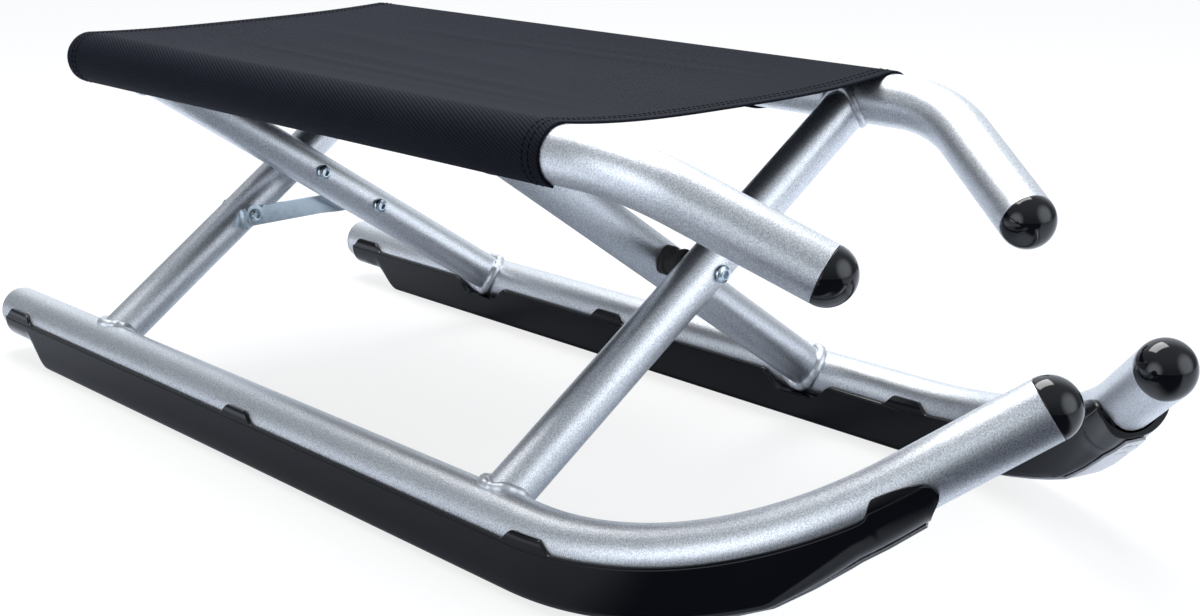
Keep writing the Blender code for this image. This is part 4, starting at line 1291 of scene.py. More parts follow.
@dataclass(frozen=True)
class RunnerShoe:
    """Moulded shoe that clips up round a runner tube, with its steel strip and the strip's screws.

    Stations count from the runner's rear end; edge_drop_span and the sizes in _to_tip count back from its
    front end. A notch is full up to its first distance from a leg's foot and gone at its second. end_round is
    a length and a drop. lean_fall is in shares of end_depth; lean_crest is such a share and the least share
    of the lean.
    """

    tube_frame: TubeFrame
    wall: float = 0.0025
    play: float = 0.0007
    lip: float = 0.0006
    lip_height: float = 0.0012
    bend_depth: float = 0.0231
    end_depth: float = 0.0210
    sleeve_depth: float = 0.0197
    corner: float = 0.0040
    keel: float = 0.0040
    rear: float = 0.012
    heel: Span = (0.039, 0.078)
    end_to_tip: float = 0.0785
    bend_to_tip: float = 0.117
    taper_to_tip: float = 0.165
    end_lean: float = 0.0115
    lean_length: float = 0.014
    lean_fall: Span = (0.40, 1.05)
    lean_crest: Span = (0.35, 0.60)
    edge_drop: float = 0.0030
    edge_drop_span: Span = (0.255, 0.115)
    clip_height: float = 0.0072
    clip_ramp: float = 0.006
    clip_ease: float = 0.0021
    clips: tuple[Span, ...] = ((0.020, 0.047), (0.352, 0.376), (0.656, 0.680))
    end_clip: float = 0.099
    end_clip_outer: float = 0.0042
    end_clip_inner: float = 0.0080
    notch: Span = (0.018, 0.031)
    notch_ease: float = 0.002
    notch_depth: float = 0.0115
    end_round: Span = (0.017, 0.0085)
    edge_round: float = 0.0005
    crest_share: float = 0.6
    upright: float = 0.96
    fine_step: float = 0.0009
    coarse_step: float = 0.0036
    first_step: float = 0.0025
    last_step: float = 0.0015
    bore_steps: int = 16
    wall_steps: int = 5
    lip_steps: int = 4
    corner_steps: int = 9
    strip_edge: float = 0.0003
    screw_edge: float = 0.0002
    finish: Finish = GlossPlastic()
    steel: Finish = StripSteel()

    @property
    def line(self) -> TubeLine:
        """Centre line of the runner tube."""
        return self.tube_frame.runner

    @property
    def end(self) -> float:
        """Station of the lowest point of the front end."""
        return self.line.length - self.end_to_tip

    def depth(self, s: float) -> float:
        """Depth of the sole under the tube's axis.

        Args:
            s: Station along the runner.

        Returns:
            The depth.
        """
        full = PLAN.sole_depth
        if s < self.heel[1]:
            return self.sleeve_depth + (full - self.sleeve_depth) * smooth_step(s, *self.heel)
        knee = self.line.length - self.bend_to_tip
        if s < knee:
            return between(s, self.line.length - self.taper_to_tip, knee, full, self.bend_depth)
        return between(s, knee, self.end, self.bend_depth, self.end_depth)

    def raised(self, s: float, span: Span) -> float:
        """Share of a clip's height, which rises and falls in S curves at its ends.

        Args:
            s: Station along the runner.
            span: Where the clip starts and stops.

        Returns:
            The share.
        """
        rise = smooth_step(s, span[0] - self.clip_ramp - self.clip_ease, span[0] + self.clip_ease)
        fall = 1.0 - smooth_step(s, span[1] - self.clip_ease, span[1] + self.clip_ramp + self.clip_ease)
        return min(rise, fall)

    def wall_top(self, s: float, inner: bool) -> float:
        """Height of a wall's top edge over the tube's axis.

        Args:
            s: Station along the runner.
            inner: The wall on the sled's inner side, which is notched under the legs.

        Returns:
            The height.
        """
        length = self.line.length
        first, last = self.edge_drop_span
        drop = between(s, length - first, length - last, 0.0, self.edge_drop)
        clip = max(self.raised(s, span) for span in self.clips)
        end = self.raised(s, (length - self.end_clip, length))
        end_height = self.end_clip_inner if inner else self.end_clip_outer
        top = (self.clip_height + drop) * clip + (end_height + drop) * end - drop
        if inner:
            for leg in self.tube_frame.legs.values():
                away = abs(s - leg.foot_station)
                start = self.notch[0] - self.notch_ease
                share = 1.0 - smooth_step(away, start, self.notch[1] + self.notch_ease)
                top -= (top + self.notch_depth) * share
        past = min(max((s - self.end) / self.end_round[0] + 1.0, 0.0), 1.0)
        return top - self.end_round[1] * (1.0 - math.sqrt(1.0 - past * past))

    def half_section(self, top: float, depth: float) -> list[Span]:
        """One side of the shoe as (outward, down) points, from the bore's lowest point round to the sole.

        Args:
            top: Height of the wall's top edge.
            depth: Depth of the sole.

        Returns:
            The points.
        """
        inner = PLAN.tube_r + self.play
        upper = inner + self.wall - self.lip
        side = upper + self.lip
        edge = math.asin(-top / inner)
        bore = arc((0.0, 0.0), (inner, inner), math.pi / 2, edge, self.bore_steps)
        rim = self.edge_round
        lip_top = max(-top, 0.0) + self.lip_height
        if top > 0.0:
            above = arc((0.0, 0.0), (upper, upper), min(edge, 0.0) + rim / upper, 0.0, self.wall_steps)
        else:
            step = (lip_top - self.lip * 0.5 + top - rim) / self.wall_steps
            above = [(upper, -top + rim + step * i) for i in range(self.wall_steps + 1)]
        first = Vector(bore[-1])
        last = Vector(above[0])
        share = self.crest_share
        lift = (first + last) / 2 - Vector((0.0, rim * share))
        crest = [tuple(first.lerp(lift, share)), tuple(lift), tuple(last.lerp(lift, share))]
        under_lip = (side - self.lip, lip_top + self.lip)
        ledge = arc(under_lip, (self.lip, self.lip), -math.pi / 2, 0.0, self.lip_steps)
        full = min(max((depth - self.end_depth) / (PLAN.sole_depth - self.end_depth), 0.0), 1.0)
        fall = (depth - lip_top - self.lip) * self.upright
        corner = fall + (self.corner - fall) * full
        reach = side - self.keel + (self.corner - side + self.keel) * full
        foot = arc((side - reach, depth - corner), (reach, corner), 0.0, math.pi / 2, self.corner_steps)
        return [*bore, *crest, *above, *ledge, *foot]

    def section(self, s: float, inset: float) -> list[Vector]:
        """Cross-section at a station.

        Args:
            s: Station along the runner.
            inset: The outline is drawn in by this much, as the rounding of an end needs.

        Returns:
            The closed ring of points.
        """
        depth = self.depth(s)
        outer = self.half_section(self.wall_top(s, False), depth)
        inner = [(-u, d) for u, d in self.half_section(self.wall_top(s, True), depth)]
        ring = [*outer, *reversed(inner[1:])]
        if inset > 0.0:
            ring = self.drawn_in(ring, inset)
        turn = self.line.turn(s)
        centre = self.line.point(s)
        outward = turn @ Vector((0.0, -self.tube_frame.side.value, 0.0))
        down = turn @ -UP
        forward = turn @ ALONG
        return [centre + outward * u + down * d + forward * self.lean(s, d) for u, d in ring]

    def drawn_in(self, ring: list[Span], inset: float) -> list[Span]:
        """Moves a closed outline inwards along its own normals.

        Args:
            ring: Points of the outline.
            inset: How far they move.

        Returns:
            The moved points.
        """
        moved = []
        count = len(ring)
        for i, (u, d) in enumerate(ring):
            before = Vector(ring[i - 1])
            after = Vector(ring[(i + 1) % count])
            tangent = (after - before).normalized()
            moved.append((u - tangent.y * inset, d + tangent.x * inset))
        return moved

    def lean(self, s: float, down: float) -> float:
        """Forward lean of the front end, which rounds off at its top edge and runs back to its sole.

        Args:
            s: Station along the runner.
            down: Depth under the tube's axis.

        Returns:
            How far the point is moved forward.
        """
        share = smooth_step(s, self.end - self.lean_length, self.end)
        start, stop = self.lean_fall
        rise = 1.0 - smooth_step(down, start * self.end_depth, stop * self.end_depth)
        full, least = self.lean_crest
        crest = between(down, -self.end_clip_outer, full * self.end_depth, least, 1.0)
        return self.end_lean * share * rise * crest

    def busy(self, margin: float = 0.002) -> list[Span]:
        """Finds the stretches where the shoe's top edge or end changes fast.

        Args:
            margin: How far a stretch reaches past the change.

        Returns:
            The first and the last station of each stretch.
        """
        reach = self.clip_ease + margin
        spans = []
        for first, last in (*self.clips, (self.line.length - self.end_clip, self.end)):
            spans.append((first - self.clip_ramp - reach, first + reach))
            spans.append((last - reach, last + self.clip_ramp + reach))
        near, far = self.notch[0] - 2.0 * margin, self.notch[1] + 2.0 * margin
        for leg in self.tube_frame.legs.values():
            spans.append((leg.foot_station - far, leg.foot_station - near))
            spans.append((leg.foot_station + near, leg.foot_station + far))
        spans.append((self.end - self.lean_length - margin, self.end))
        return spans

    def courses(self) -> list[Span]:
        """Places the shoe's rings, close together where its edge changes.

        Returns:
            Each ring's station and inset.
        """
        rim = self.edge_round
        knee = rim * KNEE
        ends = [(self.rear, rim), (self.rear + knee, knee), (self.rear + rim, 0.0)]
        inside = []
        s = self.rear + self.first_step
        while s < self.end - self.last_step:
            inside.append((s, 0.0))
            s += self.fine_step if any(low < s < high for low, high in self.busy()) else self.coarse_step
        tips = [(self.end - rim, 0.0), (self.end - knee, knee), (self.end, rim)]
        return [*ends, *inside, *tips]

    def shoe(self) -> None:
        """The shoe itself."""
        node = f"{self.tube_frame.side.hand}_runner_shoe"
        piece = loft(f"fine_{node}", [self.section(s, inset) for s, inset in self.courses()])
        settle(piece, self.finish, self.tube_frame.side.body, "black_gloss_plastic", node)

    def steel_piece(self, node: str, edge: float) -> None:
        """Steel piece under the sole, with its edges rounded."""
        settle(eased_copy(node, edge), self.steel, self.tube_frame.side.body, "strip_steel", node)

    def build(self) -> None:
        """Makes the shoe, its strip and the strip's flat-headed screws."""
        hand = self.tube_frame.side.hand
        self.shoe()
        self.steel_piece(f"{hand}_steel_strip", self.strip_edge)
        for end in ("front", "rear"):
            self.steel_piece(f"{hand}_strip_{end}_screw", self.screw_edge)


@dataclass(frozen=True)
class Fasteners:
    """Button-head bolts, lock nuts, washers, spacers and the rubber bushing of the pivots.

    A head is drawn at head_share of the CAD's. Its rise is a share of its width, and its dome's top and base
    are shares of its rise. Each set is its name in the nodes, the body that carries it and its ring's kind.
    """

    socket_across: float = 0.005
    socket_depth: float = 0.0022
    socket_floor: float = 0.0015
    socket_rim: float = 0.0006
    head_rise_share: float = 0.314
    dome_share: float = 0.924
    dome_angle: float = math.radians(64)
    dome_base: float = 0.25
    dome_steps: int = 10
    head_share: float = 0.86
    edge: float = 0.0003
    bore_r: float = 0.0042
    shank_play: float = 0.0002
    shank_chamfer: float = 0.0008
    collar_height: float = 0.0018
    collar_share: float = 0.92
    collar_edge: Span = (0.0005, 0.0006)
    chamfer_share: float = 0.55
    chamfer_steps: tuple[float, ...] = (0.0, 0.33, 0.66, 1.0)
    rim_share: float = 0.3
    bushing_edge: float = 0.0004
    rib_r: float = 0.0098
    rib_rise: float = 0.0019
    rib_width: float = 0.0052
    rib_back: float = 0.0008
    rib_steps: int = 10
    finish: Finish = ZincPlate()
    sets: tuple[tuple[str, str, str], ...] = (
        ("front_pivot", "outer_frame", "washer"),
        ("rear_pivot", "inner_frame", "washer"),
        ("strut_pivot", "inner_frame", "spacer"),
        ("catch", "outer_frame", "washer"),
    )

    def bolt(self, node: str, body: str) -> None:
        """Button-head bolt with a hexagon socket; its head faces forward.

        Args:
            node: The CAD node that it stands for.
            body: The CAD body that carries it.
        """
        low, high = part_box(node)
        centre = (low + high) / 2
        head = (high.y - low.y) / 2 * self.head_share
        rise = head * 2.0 * self.head_rise_share
        seat = Vector((high.x - rise * self.dome_share / self.head_share, centre.y, centre.z))
        turned = TurnedPiece(seat, ALONG)
        shank = self.bore_r - self.shank_play
        flat = self.socket_across / 2 + self.socket_rim
        top = rise * self.dome_share
        base = rise * self.dome_base
        dome = arc((0.0, base), (head, rise - base), self.dome_angle, 0.0, self.dome_steps)
        wall = self.socket_across / 2
        socket = [(self.socket_floor, top - self.socket_depth), (wall, top - self.socket_depth)]
        socket += [(wall, top - self.edge), (wall + self.edge * 0.5, top - self.edge * 0.2)]
        end = low.x - seat.x
        skin = [(flat + self.edge, top), *(place for place in dome if place[0] > flat + self.edge * 1.5)]
        skin += [(head, self.edge), (head - self.edge, 0.0), (shank, 0.0), (shank, end + self.shank_chamfer)]
        skin += [(shank - self.shank_chamfer, end), (0.0, end)]
        rings = [turned.ring(Outline.HEXAGON, radius, height) for radius, height in socket]
        rings += turned.rounds(skin)
        settle(loft(f"fine_{node}", rings, sharp=30.0), self.finish, body, "zinc_steel", node)

    def nut(self, node: str, body: str) -> None:
        """Hexagon nut with chamfered corners and a round locking collar; it faces backward.

        Args:
            node: The CAD node that it stands for.
            body: The CAD body that carries it.
        """
        low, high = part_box(node)
        centre = (low + high) / 2
        height = high.x - low.x
        apothem = min(high.y - low.y, high.z - low.z) / 2
        corner = apothem / math.cos(math.pi / 6)
        spin = 0.0 if high.z - low.z > high.y - low.y else math.pi / 6
        turned = TurnedPiece(Vector((high.x, centre.y, centre.z)), -ALONG)
        top = height - self.collar_height
        chamfer = (corner - apothem) * self.chamfer_share
        limits = [(apothem + (corner - apothem) * share, chamfer * share) for share in self.chamfer_steps]
        faces = [*limits, *((limit, top - rise) for limit, rise in reversed(limits))]
        collar = apothem * self.collar_share
        inward, down = self.collar_edge
        rings = turned.rounds([(self.bore_r, 0.0)])
        rings += [turned.ring(Outline.HEXAGON, apothem, rise, limit) for limit, rise in faces]
        rings += turned.rounds([(collar, top), (collar, height - down), (collar - inward, height)])
        rings += turned.rounds([(self.bore_r, height)])
        if spin:
            about = Matrix.Rotation(spin, 3, ALONG)
            middle = turned.place
            rings = [[middle + about @ (point - middle) for point in ring] for ring in rings]
        settle(loft(f"fine_{node}", rings, endless=True, sharp=28.0), self.finish, body, "zinc_steel", node)

    def flat_ring(self, node: str, body: str, finish: Finish, slot: str) -> None:
        """Washer or spacer with rounded rims.

        Args:
            node: The CAD node that it stands for.
            body: The CAD body that carries it.
            finish: Its finish.
            slot: The record's material slot.
        """
        low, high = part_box(node)
        centre = (low + high) / 2
        turned = TurnedPiece(Vector((low.x, centre.y, centre.z)), ALONG)
        outer = (high.y - low.y) / 2
        height = high.x - low.x
        rim = min(self.edge, height * self.rim_share)
        knee = rim * KNEE
        profile = [(self.bore_r, 0.0), (outer - rim, 0.0), (outer - knee, knee), (outer, rim)]
        profile += [(outer, height - rim), (outer - knee, height - knee), (outer - rim, height)]
        profile.append((self.bore_r, height))
        settle(loft(f"fine_{node}", turned.rounds(profile), endless=True), finish, body, slot, node)

    def bushing(self) -> None:
        """Rubber bushing between the front legs, saddled on the inner leg, with a rib near its front end."""
        node = "front_pivot_bushing"
        settle(eased_copy(node, self.bushing_edge), BLACK_RUBBER, "inner_frame", "black_rubber", node)
        low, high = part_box(node)
        centre = (low + high) / 2
        width = self.rib_width
        turned = TurnedPiece(Vector((high.x - width - self.rib_back, centre.y, centre.z)), ALONG)
        inner = self.rib_r - self.rib_rise
        quarter = math.pi / 2
        bulge = arc((inner, width / 2), (self.rib_rise, width / 2), -quarter, quarter, self.rib_steps)
        rib = loft(f"fine_{node}_rib", turned.rounds([*bulge, (inner, width / 2)]), endless=True)
        settle(rib, BLACK_RUBBER, "inner_frame", "black_rubber")

    def build(self) -> None:
        """Makes every fastener."""
        for name, body, _ in self.sets:
            self.bolt(f"{name}_bolt", body)
        for name, body, _ in self.sets:
            self.nut(f"{name}_nut", body)
        for name, body, ring in self.sets:
            self.flat_ring(f"{name}_{ring}", body, self.finish, "zinc_steel")
        self.flat_ring("rear_pivot_spacer", "inner_frame", BLACK_RUBBER, "black_rubber")
        self.bushing()


@dataclass(frozen=True)
class LockStrut:
    """Pressed steel strut that holds the frames apart, with a joggle, a hook slot and a finger tab."""

    node: str = "lock_strut"
    edge: float = 0.0005
    finish: Finish = ZincPlate(name="strut_zinc_plate")

    def build(self) -> None:
        """Rounds the edges of the pressed sheet."""
        settle(eased_copy(self.node, self.edge), self.finish, "lock_strut_body", "zinc_steel", self.node)


@dataclass(frozen=True)
class Wrinkle:
    """One long shallow ridge of the cloth, from a place across the sled at its rear to one at its front."""

    rear_y: float
    front_y: float
    height: float
    width: float
    start: float
    stop: float
    fade: float = 0.2

    def rise(self, share: float, y: float) -> float:
        """Height of the ridge.

        Args:
            share: Share of the cloth's length.
            y: Place across the sled.

        Returns:
            The height.
        """
        inside = smooth_step(share, self.start, self.start + self.fade)
        inside *= 1.0 - smooth_step(share, self.stop - self.fade, self.stop)
        middle = self.rear_y + (self.front_y - self.rear_y) * share
        return self.height * inside * math.exp(-((y - middle) / self.width) ** 2)


@dataclass(frozen=True)
class SeatCloth:
    """Woven seat: one sheet round both seat tubes, cut away where the legs stand, hemmed at both ends.

    cut_out is how far the cut-outs reach past the rear leg and before the front one. The hem's rows are
    distances from its edge, fold_angles place the points of its turn, and stitch is a pitch, a length and a
    radius.
    """

    uv_name = "cloth"
    frames: tuple[TubeFrame, TubeFrame]
    play: float = 0.0004
    cad_t: float = 0.0015
    thickness: float = 0.0008
    rear: float = 0.091
    front_left: float = 0.658
    front_right: float = 0.645
    front_bow: float = 0.004
    sleeve_past_hem: float = 0.0008
    sleeve_share: float = 0.97
    rear_sag: float = 0.0025
    front_sag: float = 0.0074
    middle_sag: float = 0.0080
    sag_power: float = 2.8
    panel_drop: float = 0.0003
    cut_out: Span = (0.060, 0.095)
    cut_edge: float = math.radians(-108.0)
    cut_corner: float = 0.014
    cut_fade: float = 0.05
    seam_inward: float = 0.0215
    seam_row: float = 0.002475
    seam_span: Span = (0.035, 0.965)
    seam_steps: int = 80
    tail: float = 0.0055
    hem: float = 0.019
    hem_rows: Span = (0.0076, 0.0130)
    hem_steps: int = 5
    fold_angles: tuple[float, ...] = (0.5, 1.1, 1.571, 2.04, 2.64)
    stitch: Triple = (0.0040, 0.0033, 0.00048)
    stitch_lift: float = 0.00036
    layer_gap: float = 0.0001
    blend_y: float = 0.118
    rows: int = 168
    panel_columns: int = 68
    sleeve_columns: int = 43
    tail_columns: int = 3
    rise_columns: int = 5
    finish: Finish = WovenCloth()
    thread: Finish = Thread()
    wrinkles: tuple[Wrinkle, ...] = (
        Wrinkle(-0.055, -0.085, 0.0011, 0.006, 0.10, 0.98),
        Wrinkle(-0.085, -0.104, 0.0008, 0.004, 0.30, 0.95),
        Wrinkle(-0.020, -0.060, 0.0009, 0.008, 0.20, 0.92),
        Wrinkle(0.030, -0.010, 0.0007, 0.010, 0.05, 0.75),
        Wrinkle(0.070, 0.088, 0.0009, 0.006, 0.15, 0.96),
        Wrinkle(0.095, 0.104, 0.0007, 0.004, 0.35, 0.98),
    )

    @property
    def middle_r(self) -> float:
        """Radius of the cloth's middle surface round a tube."""
        return PLAN.tube_r + self.play + self.cad_t - self.thickness / 2

    def front(self, y: float) -> float:
        """Station of the front hem.

        Args:
            y: Place across the sled.

        Returns:
            The station.
        """
        share = min(max(y / PLAN.seat_y, -1.0), 1.0)
        straight = (self.front_left + self.front_right) / 2
        lean = (self.front_left - self.front_right) / 2 * share
        past = self.sleeve_past_hem * smooth_step(abs(share), self.sleeve_share, 1.0)
        return straight + lean - self.front_bow * (1.0 - share ** 2) + past

    def panel_height(self, share: float, y: float) -> float:
        """Height of the panel's middle surface over the seat tubes' axes.

        Args:
            share: Share of the cloth's length.
            y: Place across the sled.

        Returns:
            The height.
        """
        ends = self.rear_sag + (self.front_sag - self.rear_sag) * share
        depth = ends + (self.middle_sag - ends) * math.sin(math.pi * share)
        inward = 1.0 - min(abs(y) / PLAN.seat_y, 1.0) ** self.sag_power
        folds = sum(wrinkle.rise(share, y) for wrinkle in self.wrinkles)
        return self.middle_r - (self.panel_drop + depth - folds) * inward

    def sleeve(self, share: float, side: float) -> list[Span]:
        """One sleeve's section from its sewn tail round the tube to the top, as (y, height) points.

        Args:
            share: Share of the cloth's length.
            side: Side of the tube.

        Returns:
            The points.
        """
        radius = self.middle_r
        under = self.thickness + self.layer_gap
        reach = self.seam_inward
        end = reach + self.tail
        seam = Vector((reach, self.panel_height(share, PLAN.seat_y - reach) - under))
        tail_end = Vector((end, self.panel_height(share, PLAN.seat_y - end) - under))
        leave = math.atan2(seam.y, seam.x) - math.acos(radius / seam.length)
        tangent = Vector((math.cos(leave), math.sin(leave))) * radius
        fold = self.thickness
        down = (tangent - seam).normalized()
        out = (tail_end - seam).normalized()
        count = self.tail_columns
        points = [tail_end.lerp(seam + out * fold, i / count) for i in range(count + 1)]
        points += [seam + (out + down) * fold * KNEE]
        count = self.rise_columns
        points += [(seam + down * fold).lerp(tangent, i / count) for i in range(count)]
        turn = 3.0 / 4.0 * math.tau
        count = self.sleeve_columns
        points += [Vector(place) for place in arc((0.0, 0.0), (radius, radius), leave, -turn, count)]
        return [(side * (PLAN.seat_y - point.x), point.y) for point in points]

    def section(self, share: float) -> list[Span]:
        """Section of the whole sheet from the left sleeve's tail to the right sleeve's.

        Args:
            share: Share of the cloth's length.

        Returns:
            The points, as (y, height).
        """
        left = self.sleeve(share, 1.0)
        right = list(reversed(self.sleeve(share, -1.0)))
        count = self.panel_columns
        places = [PLAN.seat_y * (1.0 - 2.0 * i / count) for i in range(1, count)]
        panel = [(y, self.panel_height(share, y)) for y in places]
        return [*left, *panel, *right]

    def row_plan(self) -> list[Triple]:
        """Plans the sheet's rows, from the rear hem's edge over the top to the front hem's edge.

        Returns:
            Each row's share of the length, distance past the hem's fold and depth under the outer layer.
        """
        under = self.thickness + self.layer_gap
        bend = under / 2
        length = self.front_left - self.rear
        folds = [(math.sin(a) * bend, bend - math.cos(a) * bend) for a in self.fold_angles]
        turned = [self.hem * i / self.hem_steps for i in range(self.hem_steps + 1)]
        rear = [(0.0, -distance, under) for distance in reversed(turned)]
        rear += [(0.0, past, depth) for past, depth in reversed(folds)]
        shares = [bend / length + (1.0 - 2.0 * bend / length) * i / self.rows for i in range(self.rows + 1)]
        top = [(share, 0.0, 0.0) for share in shares]
        front = [(1.0, past, depth) for past, depth in folds]
        front += [(1.0, -distance, under) for distance in turned]
        return [*rear, *top, *front]

    def normals(self, section: list[Span]) -> list[Vector]:
        """Unit vectors from a section's middle line to its outer side.

        Args:
            section: Points of the section.

        Returns:
            A vector for each point.
        """
        found = []
        for i in range(len(section)):
            before = Vector(section[max(i - 1, 0)])
            after = Vector(section[min(i + 1, len(section) - 1)])
            tangent = (after - before).normalized()
            found.append(Vector((tangent.y, -tangent.x)))
        return found

    def point(self, row: Triple, place: Span, normal: Vector) -> Vector:
        """Point of the sheet.

        Args:
            row: Share, distance past the fold's middle, and depth under the outer layer.
            place: The section's point, as (y, height).
            normal: The section's normal there.

        Returns:
            The point, in the CAD's frame.
        """
        share, past, depth = row
        bend = (self.thickness + self.layer_gap) / 2
        y, height = place
        hem = self.front(y)
        station = self.rear - self.sleeve_past_hem + (hem - self.rear + self.sleeve_past_hem) * share
        if depth > 0.0:
            station += (past - bend) if share == 1.0 else (bend - past)
        return Vector((
            PLAN.x0 + station,
            y - normal.x * depth,
            PLAN.seat_z + height - normal.y * depth,
        ))

    def cut_column(self, section: list[Span]) -> int:
        """Finds where the left sleeve's cut-out ends.

        Args:
            section: Points of the sheet's section.

        Returns:
            Number of the section's point.
        """
        for i, (y, height) in enumerate(section):
            angle = math.atan2(height, PLAN.seat_y - y)
            past_tail = i > self.tail_columns + self.rise_columns + 2
            if past_tail and (angle <= self.cut_edge or angle > math.pi / 2):
                return i
        return 0

    def cut_spans(self, side: Side) -> Span:
        """Places along the sled where the cut-outs of a sleeve lie.

        Args:
            side: The frame whose tube the sleeve is on.

        Returns:
            Where the rear cut-out ends and where the front one starts.
        """
        held = self.frames[0] if side is Side.OUTER else self.frames[1]
        past_rear, before_front = self.cut_out
        return PLAN.x0 + (held.rear_leg[1] + past_rear), PLAN.x0 + (held.front_leg[1] - before_front)

    def sheet(self) -> bpy.types.Object:
        """Makes the sheet as one grid, cut away at the legs, folded at the hems and given its thickness.

        Returns:
            The sheet, which carries its flat area and its girth.
        """
        rows = self.row_plan()
        sections = [self.section(row[0]) for row in rows]
        count = len(sections[0])
        middle = sections[len(rows) // 2]
        girth = [0.0]
        for a, b in zip(middle, middle[1:]):
            girth.append(girth[-1] + (Vector(a) - Vector(b)).length)
        cut = self.cut_column(middle)
        points: list[Vector] = []
        maps: list[Span] = []
        for row, section in zip(rows, sections):
            for j, (place, normal) in enumerate(zip(section, self.normals(section))):
                point = self.point(row, place, normal)
                if j < cut or j > count - 1 - cut:
                    side = Side.OUTER if j < cut else Side.INNER
                    away = girth[cut] - girth[j] if j < cut else girth[j] - girth[count - 1 - cut]
                    point.x = self.slid(point.x, side, away)
                points.append(point)
                maps.append((point.x + (row[1] < 0.0) * 2.0 * self.hem, girth[j]))
        faces = []
        for first in range(0, len(points) - count, count):
            row = points[first:first + count]
            kept = [first + j for j in range(count - 1) if not self.is_cut(row, j, cut)]
            faces += [(a, a + 1, a + count + 1, a + count) for a in kept]
        mesh = bpy.data.meshes.new("seat_sheet")
        mesh.from_pydata([tuple(point) for point in points], [], faces)
        layer = mesh.uv_layers.new(name=self.uv_name)
        for loop, place in zip(mesh.loops, layer.data):
            place.uv = maps[loop.vertex_index]
        work = bmesh.new()
        work.from_mesh(mesh)
        loose = [vert for vert in work.verts if not vert.link_faces]
        bmesh.ops.delete(work, geom=loose, context="VERTS")
        area = sum(face.calc_area() for face in work.faces)
        work.to_mesh(mesh)
        work.free()
        mesh.shade_smooth()
        made = in_scene("seat_cloth_sheet", mesh)
        made["flat_area"] = area
        made["girth"] = girth[-1]
        return self.thickened(made)

    def slid(self, x: float, side: Side, away: float) -> float:
        """Slides a grid line along its tube so that the ends of the cut-outs are round.

        Args:
            x: Place along the sled.
            side: The frame whose tube the sleeve is on.
            away: Distance round the sleeve from the cut-out's lower edge.

        Returns:
            The new place.
        """
        if away >= self.cut_corner:
            return x
        rest = 1.0 - away / self.cut_corner
        shift = self.cut_corner * (1.0 - math.sqrt(1.0 - rest * rest))
        rear, front = self.cut_spans(side)
        near_rear = max(1.0 - abs(x - rear) / self.cut_fade, 0.0)
        near_front = max(1.0 - abs(x - front) / self.cut_fade, 0.0)
        return x - shift * near_rear + shift * near_front

    def is_cut(self, row: list[Vector], j: int, cut: int) -> bool:
        """Tells whether a face of the grid lies in a cut-out.

        Args:
            row: Points of the grid's row behind the face.
            j: The face's column.
            cut: Number of columns at each side that the cut-outs cross.

        Returns:
            Whether it does.
        """
        if cut <= j <= len(row) - 2 - cut:
            return False
        side = Side.OUTER if j < cut else Side.INNER
        rear, front = self.cut_spans(side)
        x = row[0 if side is Side.OUTER else -1].x
        return x < rear or x > front

    def thickened(self, sheet: bpy.types.Object, sharp: float = 60.0) -> bpy.types.Object:
        """Gives the sheet its thickness as a plain mesh.

        Args:
            sheet: The sheet.
            sharp: Edges that turn by more than this many degrees stay sharp.

        Returns:
            The same object.
        """
        solid = sheet.modifiers.new("thickness", "SOLIDIFY")
        solid.thickness = self.thickness
        solid.offset = 0.0
        mesh = finished_mesh(sheet)
        sheet.modifiers.clear()
        sheet.data = mesh
        mesh.shade_smooth()
        mesh.set_sharp_from_angle(angle=math.radians(sharp))
        return sheet

    def hem_path(self, distance: float, at_front: bool) -> list[Vector]:
        """Line of a stitch row on the outer side of a hem.

        Args:
            distance: How far the row is from the hem's edge.
            at_front: The hem is the front one.

        Returns:
            The line's points.
        """
        length = self.front_left - self.rear
        share = 1.0 - distance / length if at_front else distance / length
        section = self.section(share)
        normals = self.normals(section)
        cut = self.cut_column(section)
        path = []
        for j in range(cut + 1, len(section) - 1 - cut):
            place = self.point((share, 0.0, 0.0), section[j], normals[j])
            lift = normals[j] * self.stitch_lift
            path.append(place + Vector((0.0, lift.x, lift.y)))
        return path

    def seam_path(self, side: float) -> list[Vector]:
        """Line of the stitches that show under a sleeve's tail, where it is sewn up to the panel.

        Args:
            side: Side of the sleeve.

        Returns:
            The line's points.
        """
        y = side * (PLAN.seat_y - self.seam_inward - self.seam_row)
        start, stop = self.seam_span
        path = []
        for i in range(self.seam_steps + 1):
            share = start + (stop - start) * i / self.seam_steps
            station = self.rear + (self.front(y) - self.rear) * share
            height = self.panel_height(share, y) - self.thickness * 1.5 - self.layer_gap
            path.append(Vector((PLAN.x0 + station, y, PLAN.seat_z + height)))
        return path

    def build(self, tree: GeometryTree) -> None:
        """Args:
            tree: The tree of a stitch row.
        """
        sheet = self.sheet()
        paths = [self.hem_path(d, at_front) for at_front in (True, False) for d in self.hem_rows]
        paths += [self.seam_path(side) for side in (1.0, -1.0)]
        pitch, length, radius = self.stitch
        values = {
            "Pitch": pitch, "Length": length, "Thread Radius": radius, "Material": self.thread.material(),
        }
        stitches = tree.grow("seat_stitches", paths, False, values)
        sheet.data.materials.clear()
        sheet.data.materials.append(self.finish.material())
        for piece in (sheet, stitches):
            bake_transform(piece)
            LOG.info("%s: %d faces across the fold", piece.name, len(piece.data.polygons))
        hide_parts("seat_cloth")


@dataclass(frozen=True)
class Umbrella:
    """A soft-edged light far away: its direction, the half angles of its edge and core, its strength."""

    axis: Triple
    edge: float
    core: float
    strength: float


